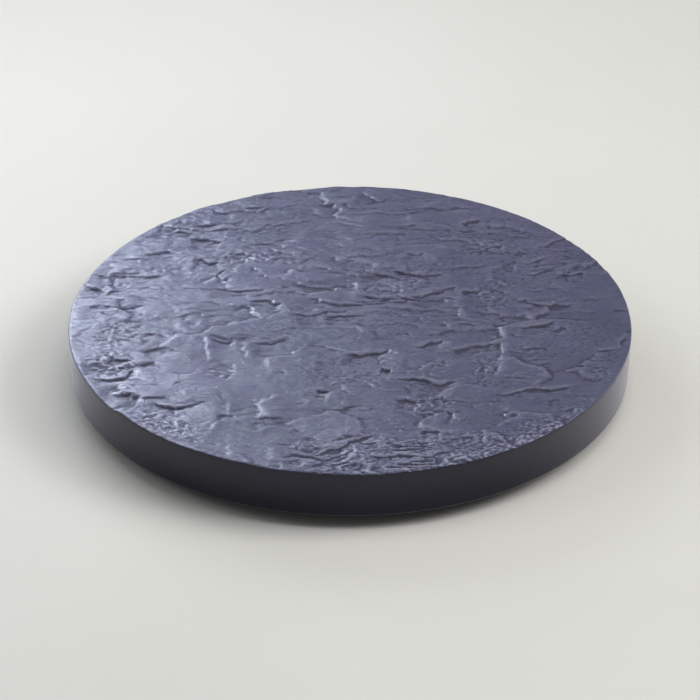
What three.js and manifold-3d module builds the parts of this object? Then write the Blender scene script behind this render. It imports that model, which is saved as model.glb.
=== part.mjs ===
// Round plant pot caddy with hidden castors: a moulded deck with a skirt,
// ribbed underneath, on four small swivel castors with pressed steel plates.
// Millimetres, +Z up, front towards -Y. The origin is on the floor, under the deck's centre.
import * as THREE from "three";
import { mergeVertices } from "three/addons/utils/BufferGeometryUtils.js";
import Module from "manifold-3d";

// ---- Deck ----
const DECK_R = 150; // outer radius at the top edge
const FOOT_R = 148.8; // outer radius at the lower rim: the skirt has moulding draft
const DECK_H = 35.5; // top face above the floor
const SKIRT_Z = 8; // lower rim of the skirt above the floor
const SKIRT_T = 3;
const TOP_T = 3.5;
const UNDER_Z = DECK_H - TOP_T; // underside of the top wall
const SKIRT_IN = DECK_R - SKIRT_T; // inner radius of the skirt at its top
const EDGE_ROUND = 1.6; // rounding of the top edge
const FOOT_ROUND = 1.2; // rounding of the lower rim

// ---- Ribs ----
const OVERLAP = 0.5; // how far ribs run into the walls they join
const RIB_T = 1.8;
const RIB_Z = 21; // lower edge of the ribs
const RIB_TOP = UNDER_Z + OVERLAP;
const CENTRE_RING = [13, 12];
const RING_RIBS = [CENTRE_RING, [46, 24], [78, 24]]; // [mid radius, segments]
const RADIAL_RIBS = 12;

// ---- Castor layout ----
const CASTOR_XY = 79; // swivel axes at (+-79, +-79)
const WELL_R = 27.5; // inner radius of the round wall about each castor
const WELL_T = 2;
const WELL_Z = 17;
const HEADING = -Math.PI / 2; // castors trail towards -Y
// Serves both the castors about the deck and the screws about a castor.
const CORNERS = [
  { castor: "front_left", screw: "a", sideX: -1, sideY: -1 },
  { castor: "front_right", screw: "b", sideX: 1, sideY: -1 },
  { castor: "rear_right", screw: "c", sideX: 1, sideY: 1 },
  { castor: "rear_left", screw: "d", sideX: -1, sideY: 1 },
];

// ---- Wheel ----
const WHEEL_R = 12.5; // also the axle's height
const TREAD_W = 13;
const TREAD_IN = 9.6; // inner radius of the tread
const CORE_R = 9.5;
const TRAIL = 11; // swivel axis to axle
const HUB_HALF = 8;
const AXLE_R = 2;

// ---- Fork ----
const LEG_IN = 8.2; // inner faces of the legs
const SHEET = 1.4;
const LEG_OUT = LEG_IN + SHEET;
const CROWN_Z = 25.6; // underside of the crown
const CROWN_TOP = CROWN_Z + SHEET;
const CROWN_R = 12;
const PIN_R = 3; // kingpin

// ---- Plate and screws ----
const PLATE_Z = 26; // underside of the flange
const PLATE_T = 1.5;
const PLATE_TOP = PLATE_Z + PLATE_T;
const PLATE_HALF = 20;
const DOME_Z = 29; // underside of the raised middle
const DOME_TOP = DOME_Z + PLATE_T;
const HOLE_AT = 16; // screw holes at (+-16, +-16) from the swivel axis
const SCREW_R = 1.45;

const wasm = await Module();
wasm.setup();

// ---- Helpers ----
// Welds a geometry's vertices and drops collapsed triangles, to make a closed solid.
function solid(geometry) {
  const bare = geometry.clone();
  bare.deleteAttribute("normal");
  bare.deleteAttribute("uv");
  const welded = mergeVertices(bare, 1e-4);
  const corners = welded.index.array;
  const triangles = [];
  for (let i = 0; i < corners.length; i += 3) {
    const [a, b, c] = corners.slice(i, i + 3);
    if (a !== b && b !== c && a !== c) triangles.push(a, b, c);
  }
  const result = new wasm.Manifold(
    new wasm.Mesh({
      numProp: 3,
      vertProperties: new Float32Array(welded.attributes.position.array),
      triVerts: new Uint32Array(triangles),
    }),
  );
  if (result.volume() <= 0) throw new Error("a shape is inside out");
  return result;
}

function geometryOf(shape) {
  const { numVert, numProp, vertProperties, triVerts } = shape.getMesh();
  const position = new Float32Array(numVert * 3);
  for (let i = 0; i < numVert; i++)
    for (let k = 0; k < 3; k++) position[3 * i + k] = vertProperties[numProp * i + k];
  const geometry = new THREE.BufferGeometry();
  geometry.setAttribute("position", new THREE.BufferAttribute(position, 3));
  geometry.setIndex(new THREE.BufferAttribute(new Uint32Array(triVerts), 1));
  geometry.computeVertexNormals();
  return geometry;
}

// A lathe about Y. The profile is closed here unless it starts on the axis.
function lathe(profile, segments) {
  const closed = profile[0][0] > 0 ? [...profile, profile[0]] : profile;
  const points = closed.map(([radius, along]) => new THREE.Vector2(radius, along));
  return new THREE.LatheGeometry(points, segments);
}

// A solid of revolution about Z from [radius, z] points, anticlockwise in the r-z plane.
const turned = (profile, segments) => solid(lathe(profile, segments).rotateX(Math.PI / 2));

// A solid of revolution about the axle, along Y, from [radius, y] points.
const atAxle = (profile, segments) => solid(lathe(profile, segments).translate(-TRAIL, 0, WHEEL_R));

// A cylinder about Z from z0 to z1, at x, y.
function drum(radius, z0, z1, segments, x = 0, y = 0) {
  return solid(
    new THREE.CylinderGeometry(radius, radius, z1 - z0, segments)
      .rotateX(Math.PI / 2)
      .translate(x, y, (z0 + z1) / 2),
  );
}

// A ring about Z between two radii.
function ring(inner, outer, z0, z1, segments) {
  return turned([[inner, z0], [outer, z0], [outer, z1], [inner, z1]], segments);
}

// A straight rib up to RIB_TOP, centred `out` from the Z axis in the direction `angle`.
function straightRib(length, z0, out, angle) {
  return new THREE.BoxGeometry(length, RIB_T, RIB_TOP - z0)
    .translate(out, 0, (RIB_TOP + z0) / 2)
    .rotateZ(angle);
}

const joined = (shapes) => shapes.reduce((a, b) => a.add(b));

function addMesh(parent, name, shape, material) {
  const mesh = new THREE.Mesh(geometryOf(shape), material);
  mesh.name = name;
  parent.add(mesh);
  return mesh;
}

// ---- Materials ----
const standard = (settings) => new THREE.MeshStandardMaterial(settings);
const deckPlastic = standard({ color: 0x5b5d70, roughness: 0.6, metalness: 0 });
const zinc = standard({ color: 0xb9bcc0, roughness: 0.35, metalness: 0.9 });
const steel = standard({ color: 0x9b9ea3, roughness: 0.3, metalness: 1 });
const nylon = standard({ color: 0xc9c9c4, roughness: 0.5, metalness: 0 });
const treadRubber = standard({ color: 0x2a2b2e, roughness: 0.8, metalness: 0 });

// ---- Deck pieces ----
// Top wall and skirt. Each rounding is two chords that meet at 45 degrees.
function deckShell() {
  const inset = 1 - Math.SQRT1_2; // of the rounding's radius, at its middle point
  return turned(
    [
      [0, UNDER_Z],
      [SKIRT_IN, UNDER_Z],
      [FOOT_R - SKIRT_T, SKIRT_Z],
      [FOOT_R - FOOT_ROUND, SKIRT_Z],
      [FOOT_R - FOOT_ROUND * inset, SKIRT_Z + FOOT_ROUND * inset],
      [FOOT_R, SKIRT_Z + FOOT_ROUND],
      [DECK_R, DECK_H - EDGE_ROUND],
      [DECK_R - EDGE_ROUND * inset, DECK_H - EDGE_ROUND * inset],
      [DECK_R - EDGE_ROUND, DECK_H],
      [0, DECK_H],
    ],
    60,
  );
}

function deckRibs() {
  const rings = RING_RIBS.map(([radius, segments]) =>
    ring(radius - RIB_T / 2, radius + RIB_T / 2, RIB_Z, RIB_TOP, segments),
  );
  // each bar crosses the whole deck, so it makes two radial ribs
  const bars = [];
  for (let i = 0; i < RADIAL_RIBS / 2; i++) {
    const angle = ((i + 0.5) * 2 * Math.PI) / RADIAL_RIBS;
    bars.push(solid(straightRib(2 * (SKIRT_IN + OVERLAP), RIB_Z, 0, angle)));
  }
  // the centre is cleared out to the middle of the smallest ring's wall
  const [radius, segments] = CENTRE_RING;
  return joined([...rings, ...bars]).subtract(drum(radius, RIB_Z - 1, UNDER_Z, segments));
}

// A web from the screw boss to the well's wall, for the castor at x, y.
function bossWeb(x, y, angle) {
  const length = 5;
  const beyondScrew = 3.4; // screw axis to the web's middle
  const out = HOLE_AT * Math.SQRT2 + beyondScrew;
  return solid(straightRib(length, PLATE_TOP, out, angle).translate(x, y, 0));
}

function deckSolid() {
  const bossR = 4;
  const pilotR = SCREW_R + 0.1;
  const pilotTop = UNDER_Z + 0.8; // a little way into the top wall
  const wells = [];
  const clearances = [];
  const bosses = [];
  const pilots = [];
  for (const castor of CORNERS) {
    const x = castor.sideX * CASTOR_XY;
    const y = castor.sideY * CASTOR_XY;
    wells.push(drum(WELL_R + WELL_T, WELL_Z, RIB_TOP, 24, x, y));
    clearances.push(drum(WELL_R, WELL_Z - 1, UNDER_Z, 24, x, y));
    for (const { sideX, sideY } of CORNERS) {
      const bossX = x + sideX * HOLE_AT;
      const bossY = y + sideY * HOLE_AT;
      bosses.push(drum(bossR, PLATE_TOP, RIB_TOP, 8, bossX, bossY));
      bosses.push(bossWeb(x, y, Math.atan2(sideY, sideX)));
      pilots.push(drum(pilotR, PLATE_Z, pilotTop, 8, bossX, bossY));
    }
  }
  const holes = joined(pilots);
  const underside = deckRibs()
    .add(joined(wells))
    .subtract(joined(clearances))
    .add(joined(bosses))
    .subtract(holes);
  return deckShell().subtract(holes).add(underside);
}

// ---- Castor pieces, about the swivel axis, trailing along -X ----
// Square flange with rounded corners, four screw holes and a round opening.
function plateFlange() {
  const cornerR = 4;
  const holeR = 1.9;
  const openingR = 15.8;
  const centre = PLATE_HALF - cornerR; // of the corner arcs
  const outline = new THREE.Shape();
  outline.moveTo(PLATE_HALF, centre);
  outline.absarc(centre, centre, cornerR, 0, Math.PI / 2);
  outline.absarc(-centre, centre, cornerR, Math.PI / 2, Math.PI);
  outline.absarc(-centre, -centre, cornerR, Math.PI, 1.5 * Math.PI);
  outline.absarc(centre, -centre, cornerR, 1.5 * Math.PI, 2 * Math.PI);
  for (const { sideX, sideY } of CORNERS) {
    const hole = new THREE.Path();
    hole.absarc(sideX * HOLE_AT, sideY * HOLE_AT, holeR, 0, 2 * Math.PI, true);
    outline.holes.push(hole);
  }
  const sheet = new THREE.ExtrudeGeometry(outline, {
    depth: PLATE_T,
    bevelEnabled: false,
    curveSegments: 3,
  }).translate(0, 0, PLATE_Z);
  return solid(sheet).subtract(drum(openingR, PLATE_Z - 1, PLATE_TOP + 1, 16));
}

function plateSolid() {
  const pinHoleR = PIN_R + 0.08;
  const dome = turned(
    [
      [pinHoleR, DOME_Z],
      [12.4, DOME_Z],
      [14.2, PLATE_Z],
      [16.6, PLATE_Z],
      [16.6, PLATE_TOP],
      [15.2, PLATE_TOP],
      [13.4, DOME_TOP],
      [pinHoleR, DOME_TOP],
    ],
    16,
  );
  return plateFlange().add(dome);
}

// Six balls in a flat cage, midway between the crown and the dome.
function ballRingSolid() {
  const ballR = 0.92;
  const ballCount = 6;
  const pitchR = 9;
  const cageHalfW = 1.5;
  const cageHalfT = 0.3;
  const z = (CROWN_TOP + DOME_Z) / 2;
  const cage = ring(pitchR - cageHalfW, pitchR + cageHalfW, z - cageHalfT, z + cageHalfT, 12);
  const balls = [];
  for (let i = 0; i < ballCount; i++) {
    const angle = (i * 2 * Math.PI) / ballCount;
    const ball = new THREE.SphereGeometry(ballR, 6, 3)
      .rotateX(Math.PI / 2)
      .translate(pitchR * Math.cos(angle), pitchR * Math.sin(angle), z);
    balls.push(solid(ball));
  }
  return cage.add(joined(balls));
}

// One leg, drawn in x-y, then stood up in x-z with its thickness along -Y.
function legGeometry() {
  const eyeR = 4.4; // rounded end about the axle
  const outline = new THREE.Shape();
  outline.moveTo(7.2, CROWN_TOP);
  outline.lineTo(-7.2, CROWN_TOP);
  outline.lineTo(-8.8, CROWN_TOP - 3);
  outline.lineTo(-TRAIL - eyeR, WHEEL_R + 0.8);
  outline.absarc(-TRAIL, WHEEL_R, eyeR, Math.PI, 1.75 * Math.PI);
  outline.lineTo(5.4, CROWN_TOP - 5.5);
  outline.closePath();
  return new THREE.ExtrudeGeometry(outline, {
    depth: SHEET,
    bevelEnabled: false,
    curveSegments: 3,
  }).rotateX(Math.PI / 2);
}

function forkSolid() {
  const axleHoleR = AXLE_R + 0.08;
  const pinHoleR = PIN_R + 0.12;
  const cutHalf = 15; // the axle cutter passes both legs
  const legs = [LEG_OUT, -LEG_IN].map((y) => solid(legGeometry().translate(0, y, 0)));
  const axleCutter = [[0, -cutHalf], [axleHoleR, -cutHalf], [axleHoleR, cutHalf], [0, cutHalf]];
  return joined([drum(CROWN_R, CROWN_Z, CROWN_TOP, 16), ...legs])
    .subtract(atAxle(axleCutter, 16))
    .subtract(drum(pinHoleR, CROWN_Z - 1, CROWN_TOP + 1, 16));
}

// Head below the crown, shank up through the plate, tapered head on top.
function kingpinSolid() {
  const headR = 4.6;
  const seatZ = DOME_TOP + 0.05;
  return turned(
    [
      [0, CROWN_Z - 1.65],
      [3.9, CROWN_Z - 1.65],
      [headR, CROWN_Z - 1.1],
      [headR, CROWN_Z - 0.1],
      [PIN_R, CROWN_Z - 0.1],
      [PIN_R, seatZ],
      [4.5, seatZ],
      [3.2, DOME_TOP + 1.1],
      [0, DOME_TOP + 1.1],
    ],
    16,
  );
}

// Axle with a tapered head outside each leg.
function axleSolid() {
  const seat = LEG_OUT + 0.05;
  const end = LEG_OUT + 1.3;
  const seatR = 3.3;
  const endR = 2.2;
  return atAxle(
    [
      [0, -end],
      [endR, -end],
      [seatR, -seat],
      [AXLE_R, -seat],
      [AXLE_R, seat],
      [seatR, seat],
      [endR, end],
      [0, end],
    ],
    16,
  );
}

// Hub, thin disc and rim.
function wheelSolid() {
  const boreR = AXLE_R + 0.12;
  const hubR = 4.1;
  const rimIn = 8.2;
  const discHalf = 1.3;
  const rimHalf = TREAD_W / 2 - 0.3;
  return atAxle(
    [
      [boreR, -HUB_HALF],
      [hubR, -HUB_HALF],
      [hubR, -discHalf],
      [rimIn, -discHalf],
      [rimIn, -rimHalf],
      [CORE_R, -rimHalf],
      [CORE_R, rimHalf],
      [rimIn, rimHalf],
      [rimIn, discHalf],
      [hubR, discHalf],
      [hubR, HUB_HALF],
      [boreR, HUB_HALF],
    ],
    20,
  );
}

function treadSolid() {
  const half = TREAD_W / 2;
  const shoulderR = WHEEL_R - 0.9;
  const flatHalf = half - 1.1;
  return atAxle(
    [
      [TREAD_IN, -half],
      [shoulderR, -half],
      [WHEEL_R, -flatHalf],
      [WHEEL_R, flatHalf],
      [shoulderR, half],
      [TREAD_IN, half],
    ],
    32,
  );
}

// Screw about its own axis, head down, with a shallow point at the top.
function screwSolid() {
  const headR = 3.2;
  return turned(
    [
      [0, PLATE_Z - 2.1],
      [2.3, PLATE_Z - 2.1],
      [headR, PLATE_Z - 1.2],
      [headR, PLATE_Z - 0.05],
      [SCREW_R, PLATE_Z - 0.05],
      [SCREW_R, UNDER_Z + 0.1],
      [0, UNDER_Z + 0.7],
    ],
    8,
  );
}

// ---- Assembly ----
const caddy = new THREE.Group();
addMesh(caddy, "deck", deckSolid(), deckPlastic);

const fixedPieces = [
  ["plate", plateSolid(), zinc],
  ["kingpin", kingpinSolid(), steel],
];
const swivelPieces = [
  ["ball_ring", ballRingSolid(), steel],
  ["fork", forkSolid(), zinc],
  ["axle", axleSolid(), steel],
  ["wheel", wheelSolid(), nylon],
  ["tread", treadSolid(), treadRubber],
];
const screwShape = screwSolid();

for (const { castor, sideX, sideY } of CORNERS) {
  const station = new THREE.Group();
  station.position.set(sideX * CASTOR_XY, sideY * CASTOR_XY, 0);
  caddy.add(station);
  const fixed = new THREE.Group();
  const swivel = new THREE.Group();
  swivel.rotation.z = HEADING + Math.PI; // from trailing along -X to the rest heading
  station.add(fixed, swivel);
  for (const [part, shape, material] of fixedPieces)
    addMesh(fixed, `${castor}_${part}`, shape, material);
  for (const [part, shape, material] of swivelPieces)
    addMesh(swivel, `${castor}_${part}`, shape, material);
  for (const hole of CORNERS) {
    const screw = addMesh(fixed, `${castor}_screw_${hole.screw}`, screwShape, zinc);
    screw.position.set(hole.sideX * HOLE_AT, hole.sideY * HOLE_AT, 0);
  }
}

export default caddy;
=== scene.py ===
import math

import bpy
import numpy as np
from mathutils import Matrix, Vector


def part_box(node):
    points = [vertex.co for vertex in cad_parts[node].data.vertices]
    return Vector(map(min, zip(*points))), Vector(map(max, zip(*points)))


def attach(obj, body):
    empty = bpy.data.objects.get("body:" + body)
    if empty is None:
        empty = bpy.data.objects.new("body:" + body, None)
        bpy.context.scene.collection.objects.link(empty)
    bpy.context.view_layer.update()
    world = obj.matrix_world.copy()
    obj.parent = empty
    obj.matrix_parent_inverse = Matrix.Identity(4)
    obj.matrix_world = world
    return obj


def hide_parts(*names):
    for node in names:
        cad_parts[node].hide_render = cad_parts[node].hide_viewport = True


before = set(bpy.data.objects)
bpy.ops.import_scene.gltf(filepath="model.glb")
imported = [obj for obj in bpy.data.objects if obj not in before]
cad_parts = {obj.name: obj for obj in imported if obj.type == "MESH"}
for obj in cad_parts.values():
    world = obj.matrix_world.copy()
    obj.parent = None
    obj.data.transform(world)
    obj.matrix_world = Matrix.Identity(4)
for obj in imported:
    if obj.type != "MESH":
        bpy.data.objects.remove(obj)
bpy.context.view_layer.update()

# ------------------------------------------------------------------ places, from the CAD parts
MM = 0.001
WHERE = ("front_left", "front_right", "rear_right", "rear_left")
deck_lo, deck_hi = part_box("deck")
DECK_R = (deck_hi.x - deck_lo.x) / 2 / MM  # 150
DECK_H = deck_hi.z / MM  # 35.5
SKIRT_Z = deck_lo.z / MM  # 8


def middle(node):
    lo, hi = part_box(node)
    return (lo + hi) / 2


CASTOR = {w: middle(w + "_kingpin") for w in WHERE}
CASTOR_XY = abs(CASTOR["front_left"].x) / MM  # 79
plate_lo, plate_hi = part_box("front_left_plate")
PLATE_Z = plate_lo.z / MM  # 26
PLATE_HALF = (plate_hi.x - plate_lo.x) / 2 / MM  # 20
DOME_TOP = plate_hi.z / MM  # 30.5
PLATE_T = 1.5
DOME_Z = DOME_TOP - PLATE_T
pin_lo, pin_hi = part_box("front_left_kingpin")
fork_lo, fork_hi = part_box("front_left_fork")
CROWN_TOP = fork_hi.z / MM  # 27
SHEET = 1.4
CROWN_Z = CROWN_TOP - SHEET
FORK_OUT = (fork_hi.x - fork_lo.x) / 2 / MM  # the crown's radius, 12
tread_lo, tread_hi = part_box("front_left_tread")
WHEEL_R = (tread_hi.z - tread_lo.z) / 2 / MM  # 12.5
TRAIL = (CASTOR["front_left"].y - (tread_lo.y + tread_hi.y) / 2) / MM  # 11
TREAD_W = (tread_hi.x - tread_lo.x) / MM  # 13
axle_lo, axle_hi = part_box("front_left_axle")
AXLE_HALF = (axle_hi.x - axle_lo.x) / 2 / MM  # 10.9
screw_lo, screw_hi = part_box("front_left_screw_a")
HOLE_AT = (
    abs((screw_lo.x + screw_hi.x) / 2 - CASTOR["front_left"].x) / MM
)  # 16
FOOT_R = DECK_R - 1.2
SKIRT_T = 3.0
UNDER = DECK_H - 3.5


# ------------------------------------------------------------------ mesh helpers, all in mm
def obj_from(name, verts, faces):
    me = bpy.data.meshes.new(name)
    verts = np.asarray(verts, np.float64) * MM
    me.from_pydata(verts.tolist(), [], [list(map(int, f)) for f in faces])
    me.update()
    ob = bpy.data.objects.new(name, me)
    bpy.context.scene.collection.objects.link(ob)
    return ob


def drop(ob):
    me = ob.data
    bpy.data.objects.remove(ob)
    if me.users == 0:
        bpy.data.meshes.remove(me)


def settle(ob):
    """Applies the object's modifiers."""
    dg = bpy.context.evaluated_depsgraph_get()
    me = bpy.data.meshes.new_from_object(ob.evaluated_get(dg))
    old = ob.data
    ob.modifiers.clear()
    ob.data = me
    if old.users == 0:
        bpy.data.meshes.remove(old)
    return ob


def boolean(a, b, kind):
    m = a.modifiers.new("b", "BOOLEAN")
    m.operation = kind
    m.object = b
    m.solver = "MANIFOLD"
    settle(a)
    if len(a.data.polygons) == 0:
        raise RuntimeError("boolean left nothing of " + a.name)
    drop(b)
    return a


def join(a, b):
    return boolean(a, b, "UNION")


def cut(a, b):
    return boolean(a, b, "DIFFERENCE")


def common(a, b):
    return boolean(a, b, "INTERSECT")


def bevel(ob, width, segments=2, angle=40):
    m = ob.modifiers.new("bevel", "BEVEL")
    m.width = width * MM
    m.segments = segments
    m.limit_method = "ANGLE"
    m.angle_limit = math.radians(angle)
    m.miter_outer = "MITER_ARC"
    m.use_clamp_overlap = True
    return settle(ob)


def tidy(ob, exact=False):
    """Triangles only, less the doubled slivers that a cut leaves."""
    import bmesh

    bm = bmesh.new()
    bm.from_mesh(ob.data)
    bmesh.ops.triangulate(
        bm,
        faces=[f for f in bm.faces if len(f.verts) > 3],
        quad_method="BEAUTY",
        ngon_method="BEAUTY",
    )
    for _ in range(3):
        spot, first, weld = {}, {}, {}
        for v in bm.verts:
            key = v.co.to_tuple() if exact else tuple(round(c * 1e8) for c in v.co)
            v.index = spot.setdefault(key, len(spot))
            if first.setdefault(key, v) is not v:
                weld[v] = first[key]
        groups = {}
        for f in bm.faces:
            groups.setdefault(frozenset(v.index for v in f.verts), []).append(f)
        gone = []
        for key, faces in groups.items():
            if len(key) < 3:
                gone += faces
            elif len(faces) > 1:
                gone += faces[: len(faces) // 2 * 2]
        if weld:
            bmesh.ops.weld_verts(bm, targetmap=weld)
            gone = [f for f in gone if f.is_valid]
        if gone:
            bmesh.ops.delete(bm, geom=gone, context="FACES")
        if not gone and not weld:
            break
    if exact:
        # slivers under a thousandth of a mm across are closed up
        bmesh.ops.dissolve_degenerate(bm, dist=1e-6, edges=bm.edges)
        bmesh.ops.triangulate(
            bm,
            faces=[f for f in bm.faces if len(f.verts) > 3],
            quad_method="BEAUTY",
            ngon_method="BEAUTY",
        )
    bm.to_mesh(ob.data)
    bm.free()
    ob.data.update()
    return ob


def shade(ob, angle=32.0):
    """Smooth shading, with edges sharper than the angle kept sharp."""
    me = ob.data
    n = len(me.polygons)
    me.polygons.foreach_set("use_smooth", np.ones(n, bool))
    normals = np.zeros(n * 3)
    me.polygons.foreach_get("normal", normals)
    normals = normals.reshape(-1, 3)
    loops = np.zeros(len(me.loops), np.int64)
    me.loops.foreach_get("edge_index", loops)
    totals = np.zeros(n, np.int64)
    me.polygons.foreach_get("loop_total", totals)
    owner = np.repeat(np.arange(n), totals)
    order = np.argsort(loops, kind="stable")
    e, f = loops[order], owner[order]
    pair = np.nonzero((e[1:] == e[:-1]))[0]
    sharp = np.zeros(len(me.edges), bool)
    dots = (normals[f[pair]] * normals[f[pair + 1]]).sum(1)
    flat = np.linalg.norm(normals, axis=1) < 0.5  # an empty sliver has no normal
    dots[flat[f[pair]] | flat[f[pair + 1]]] = 1.0
    sharp[e[pair[dots < math.cos(math.radians(angle))]]] = True
    attribute = me.attributes.get("sharp_edge") or me.attributes.new(
        "sharp_edge", "BOOLEAN", "EDGE"
    )
    attribute.data.foreach_set("value", sharp)
    me.update()
    return ob


def soften(points, closed):
    """Rounds the corners of a polyline: each point is (a, b) or (a, b, radius[, steps])."""
    out = []
    n = len(points)
    for i, p in enumerate(points):
        r = p[2] if len(p) > 2 else 0.0
        steps_ = p[3] if len(p) > 3 else 4
        if r <= 0 or (not closed and i in (0, n - 1)):
            out.append((p[0], p[1]))
            continue
        q = np.array(p[:2], float)
        a = np.array(points[(i - 1) % n][:2], float) - q
        b = np.array(points[(i + 1) % n][:2], float) - q
        la, lb = np.hypot(*a), np.hypot(*b)
        a, b = a / la, b / lb
        half = math.acos(max(-1.0, min(1.0, float(a @ b)))) / 2
        if half > math.pi / 2 - 0.02:
            out.append((p[0], p[1]))
            continue
        d = min(r / math.tan(half), 0.499 * la, 0.499 * lb)
        rr = d * math.tan(half)
        centre = q + (a + b) / np.hypot(*(a + b)) * (rr / math.sin(half))
        s, e = q + a * d - centre, q + b * d - centre
        t0 = math.atan2(s[1], s[0])
        t1 = math.atan2(e[1], e[0])
        while t1 - t0 > math.pi:
            t1 -= 2 * math.pi
        while t1 - t0 < -math.pi:
            t1 += 2 * math.pi
        for k in range(steps_ + 1):
            t = t0 + (t1 - t0) * k / steps_
            out.append((centre[0] + rr * math.cos(t), centre[1] + rr * math.sin(t)))
    return out


def spin(name, points, n=64, closed=False, radius=None):
    """Solid of revolution about Z. An open profile starts and ends on the axis; a closed one makes a ring.
    Points run anticlockwise in the r-z plane. radius(k, theta, r) may change a ring's radius."""
    pts = soften(points, closed)
    verts, rings = [], []
    for k, (r, z) in enumerate(pts):
        if not closed and k in (0, len(pts) - 1):
            rings.append([len(verts)])
            verts.append((0.0, 0.0, z))
            continue
        ring = []
        for i in range(n):
            t = 2 * math.pi * i / n
            rr = radius(k, t, r, z) if radius else r
            ring.append(len(verts))
            verts.append((rr * math.cos(t), rr * math.sin(t), z))
        rings.append(ring)
    faces = []
    count = len(rings)
    for k in range(count if closed else count - 1):
        a, b = rings[k], rings[(k + 1) % count]
        for i in range(n):
            j = (i + 1) % n
            if len(a) == 1:
                faces.append((a[0], b[j], b[i]))
            elif len(b) == 1:
                faces.append((a[i], a[j], b[0]))
            else:
                faces.append((a[i], a[j], b[j], b[i]))
    return obj_from(name, verts, faces)


def prism(name, outline, z0, z1):
    """A closed outline (anticlockwise) pulled from z0 to z1."""
    n = len(outline)
    verts = [(x, y, z0) for x, y in outline] + [(x, y, z1) for x, y in outline]
    faces = [tuple(range(n))[::-1], tuple(range(n, 2 * n))]
    faces += [(i, (i + 1) % n, n + (i + 1) % n, n + i) for i in range(n)]
    return obj_from(name, verts, faces)


def turn(ob, matrix):
    ob.data.transform(matrix)
    if matrix.determinant() < 0:
        ob.data.flip_normals()
    return ob


def moved(ob, x, y, z=0.0):
    ob.data.transform(Matrix.Translation((x * MM, y * MM, z * MM)))
    return ob


def merge(name, obs):
    """Several separate bodies as one mesh."""
    verts, faces = [], []
    for ob in obs:
        base = len(verts)
        verts += [tuple(v.co / MM) for v in ob.data.vertices]
        faces += [tuple(base + i for i in p.vertices) for p in ob.data.polygons]
        drop(ob)
    return obj_from(name, verts, faces)


RX = Matrix.Rotation(math.pi / 2, 4, "X")
RZ = Matrix.Rotation(math.pi / 2, 4, "Z")  # from trailing along -X to trailing along -Y


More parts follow.
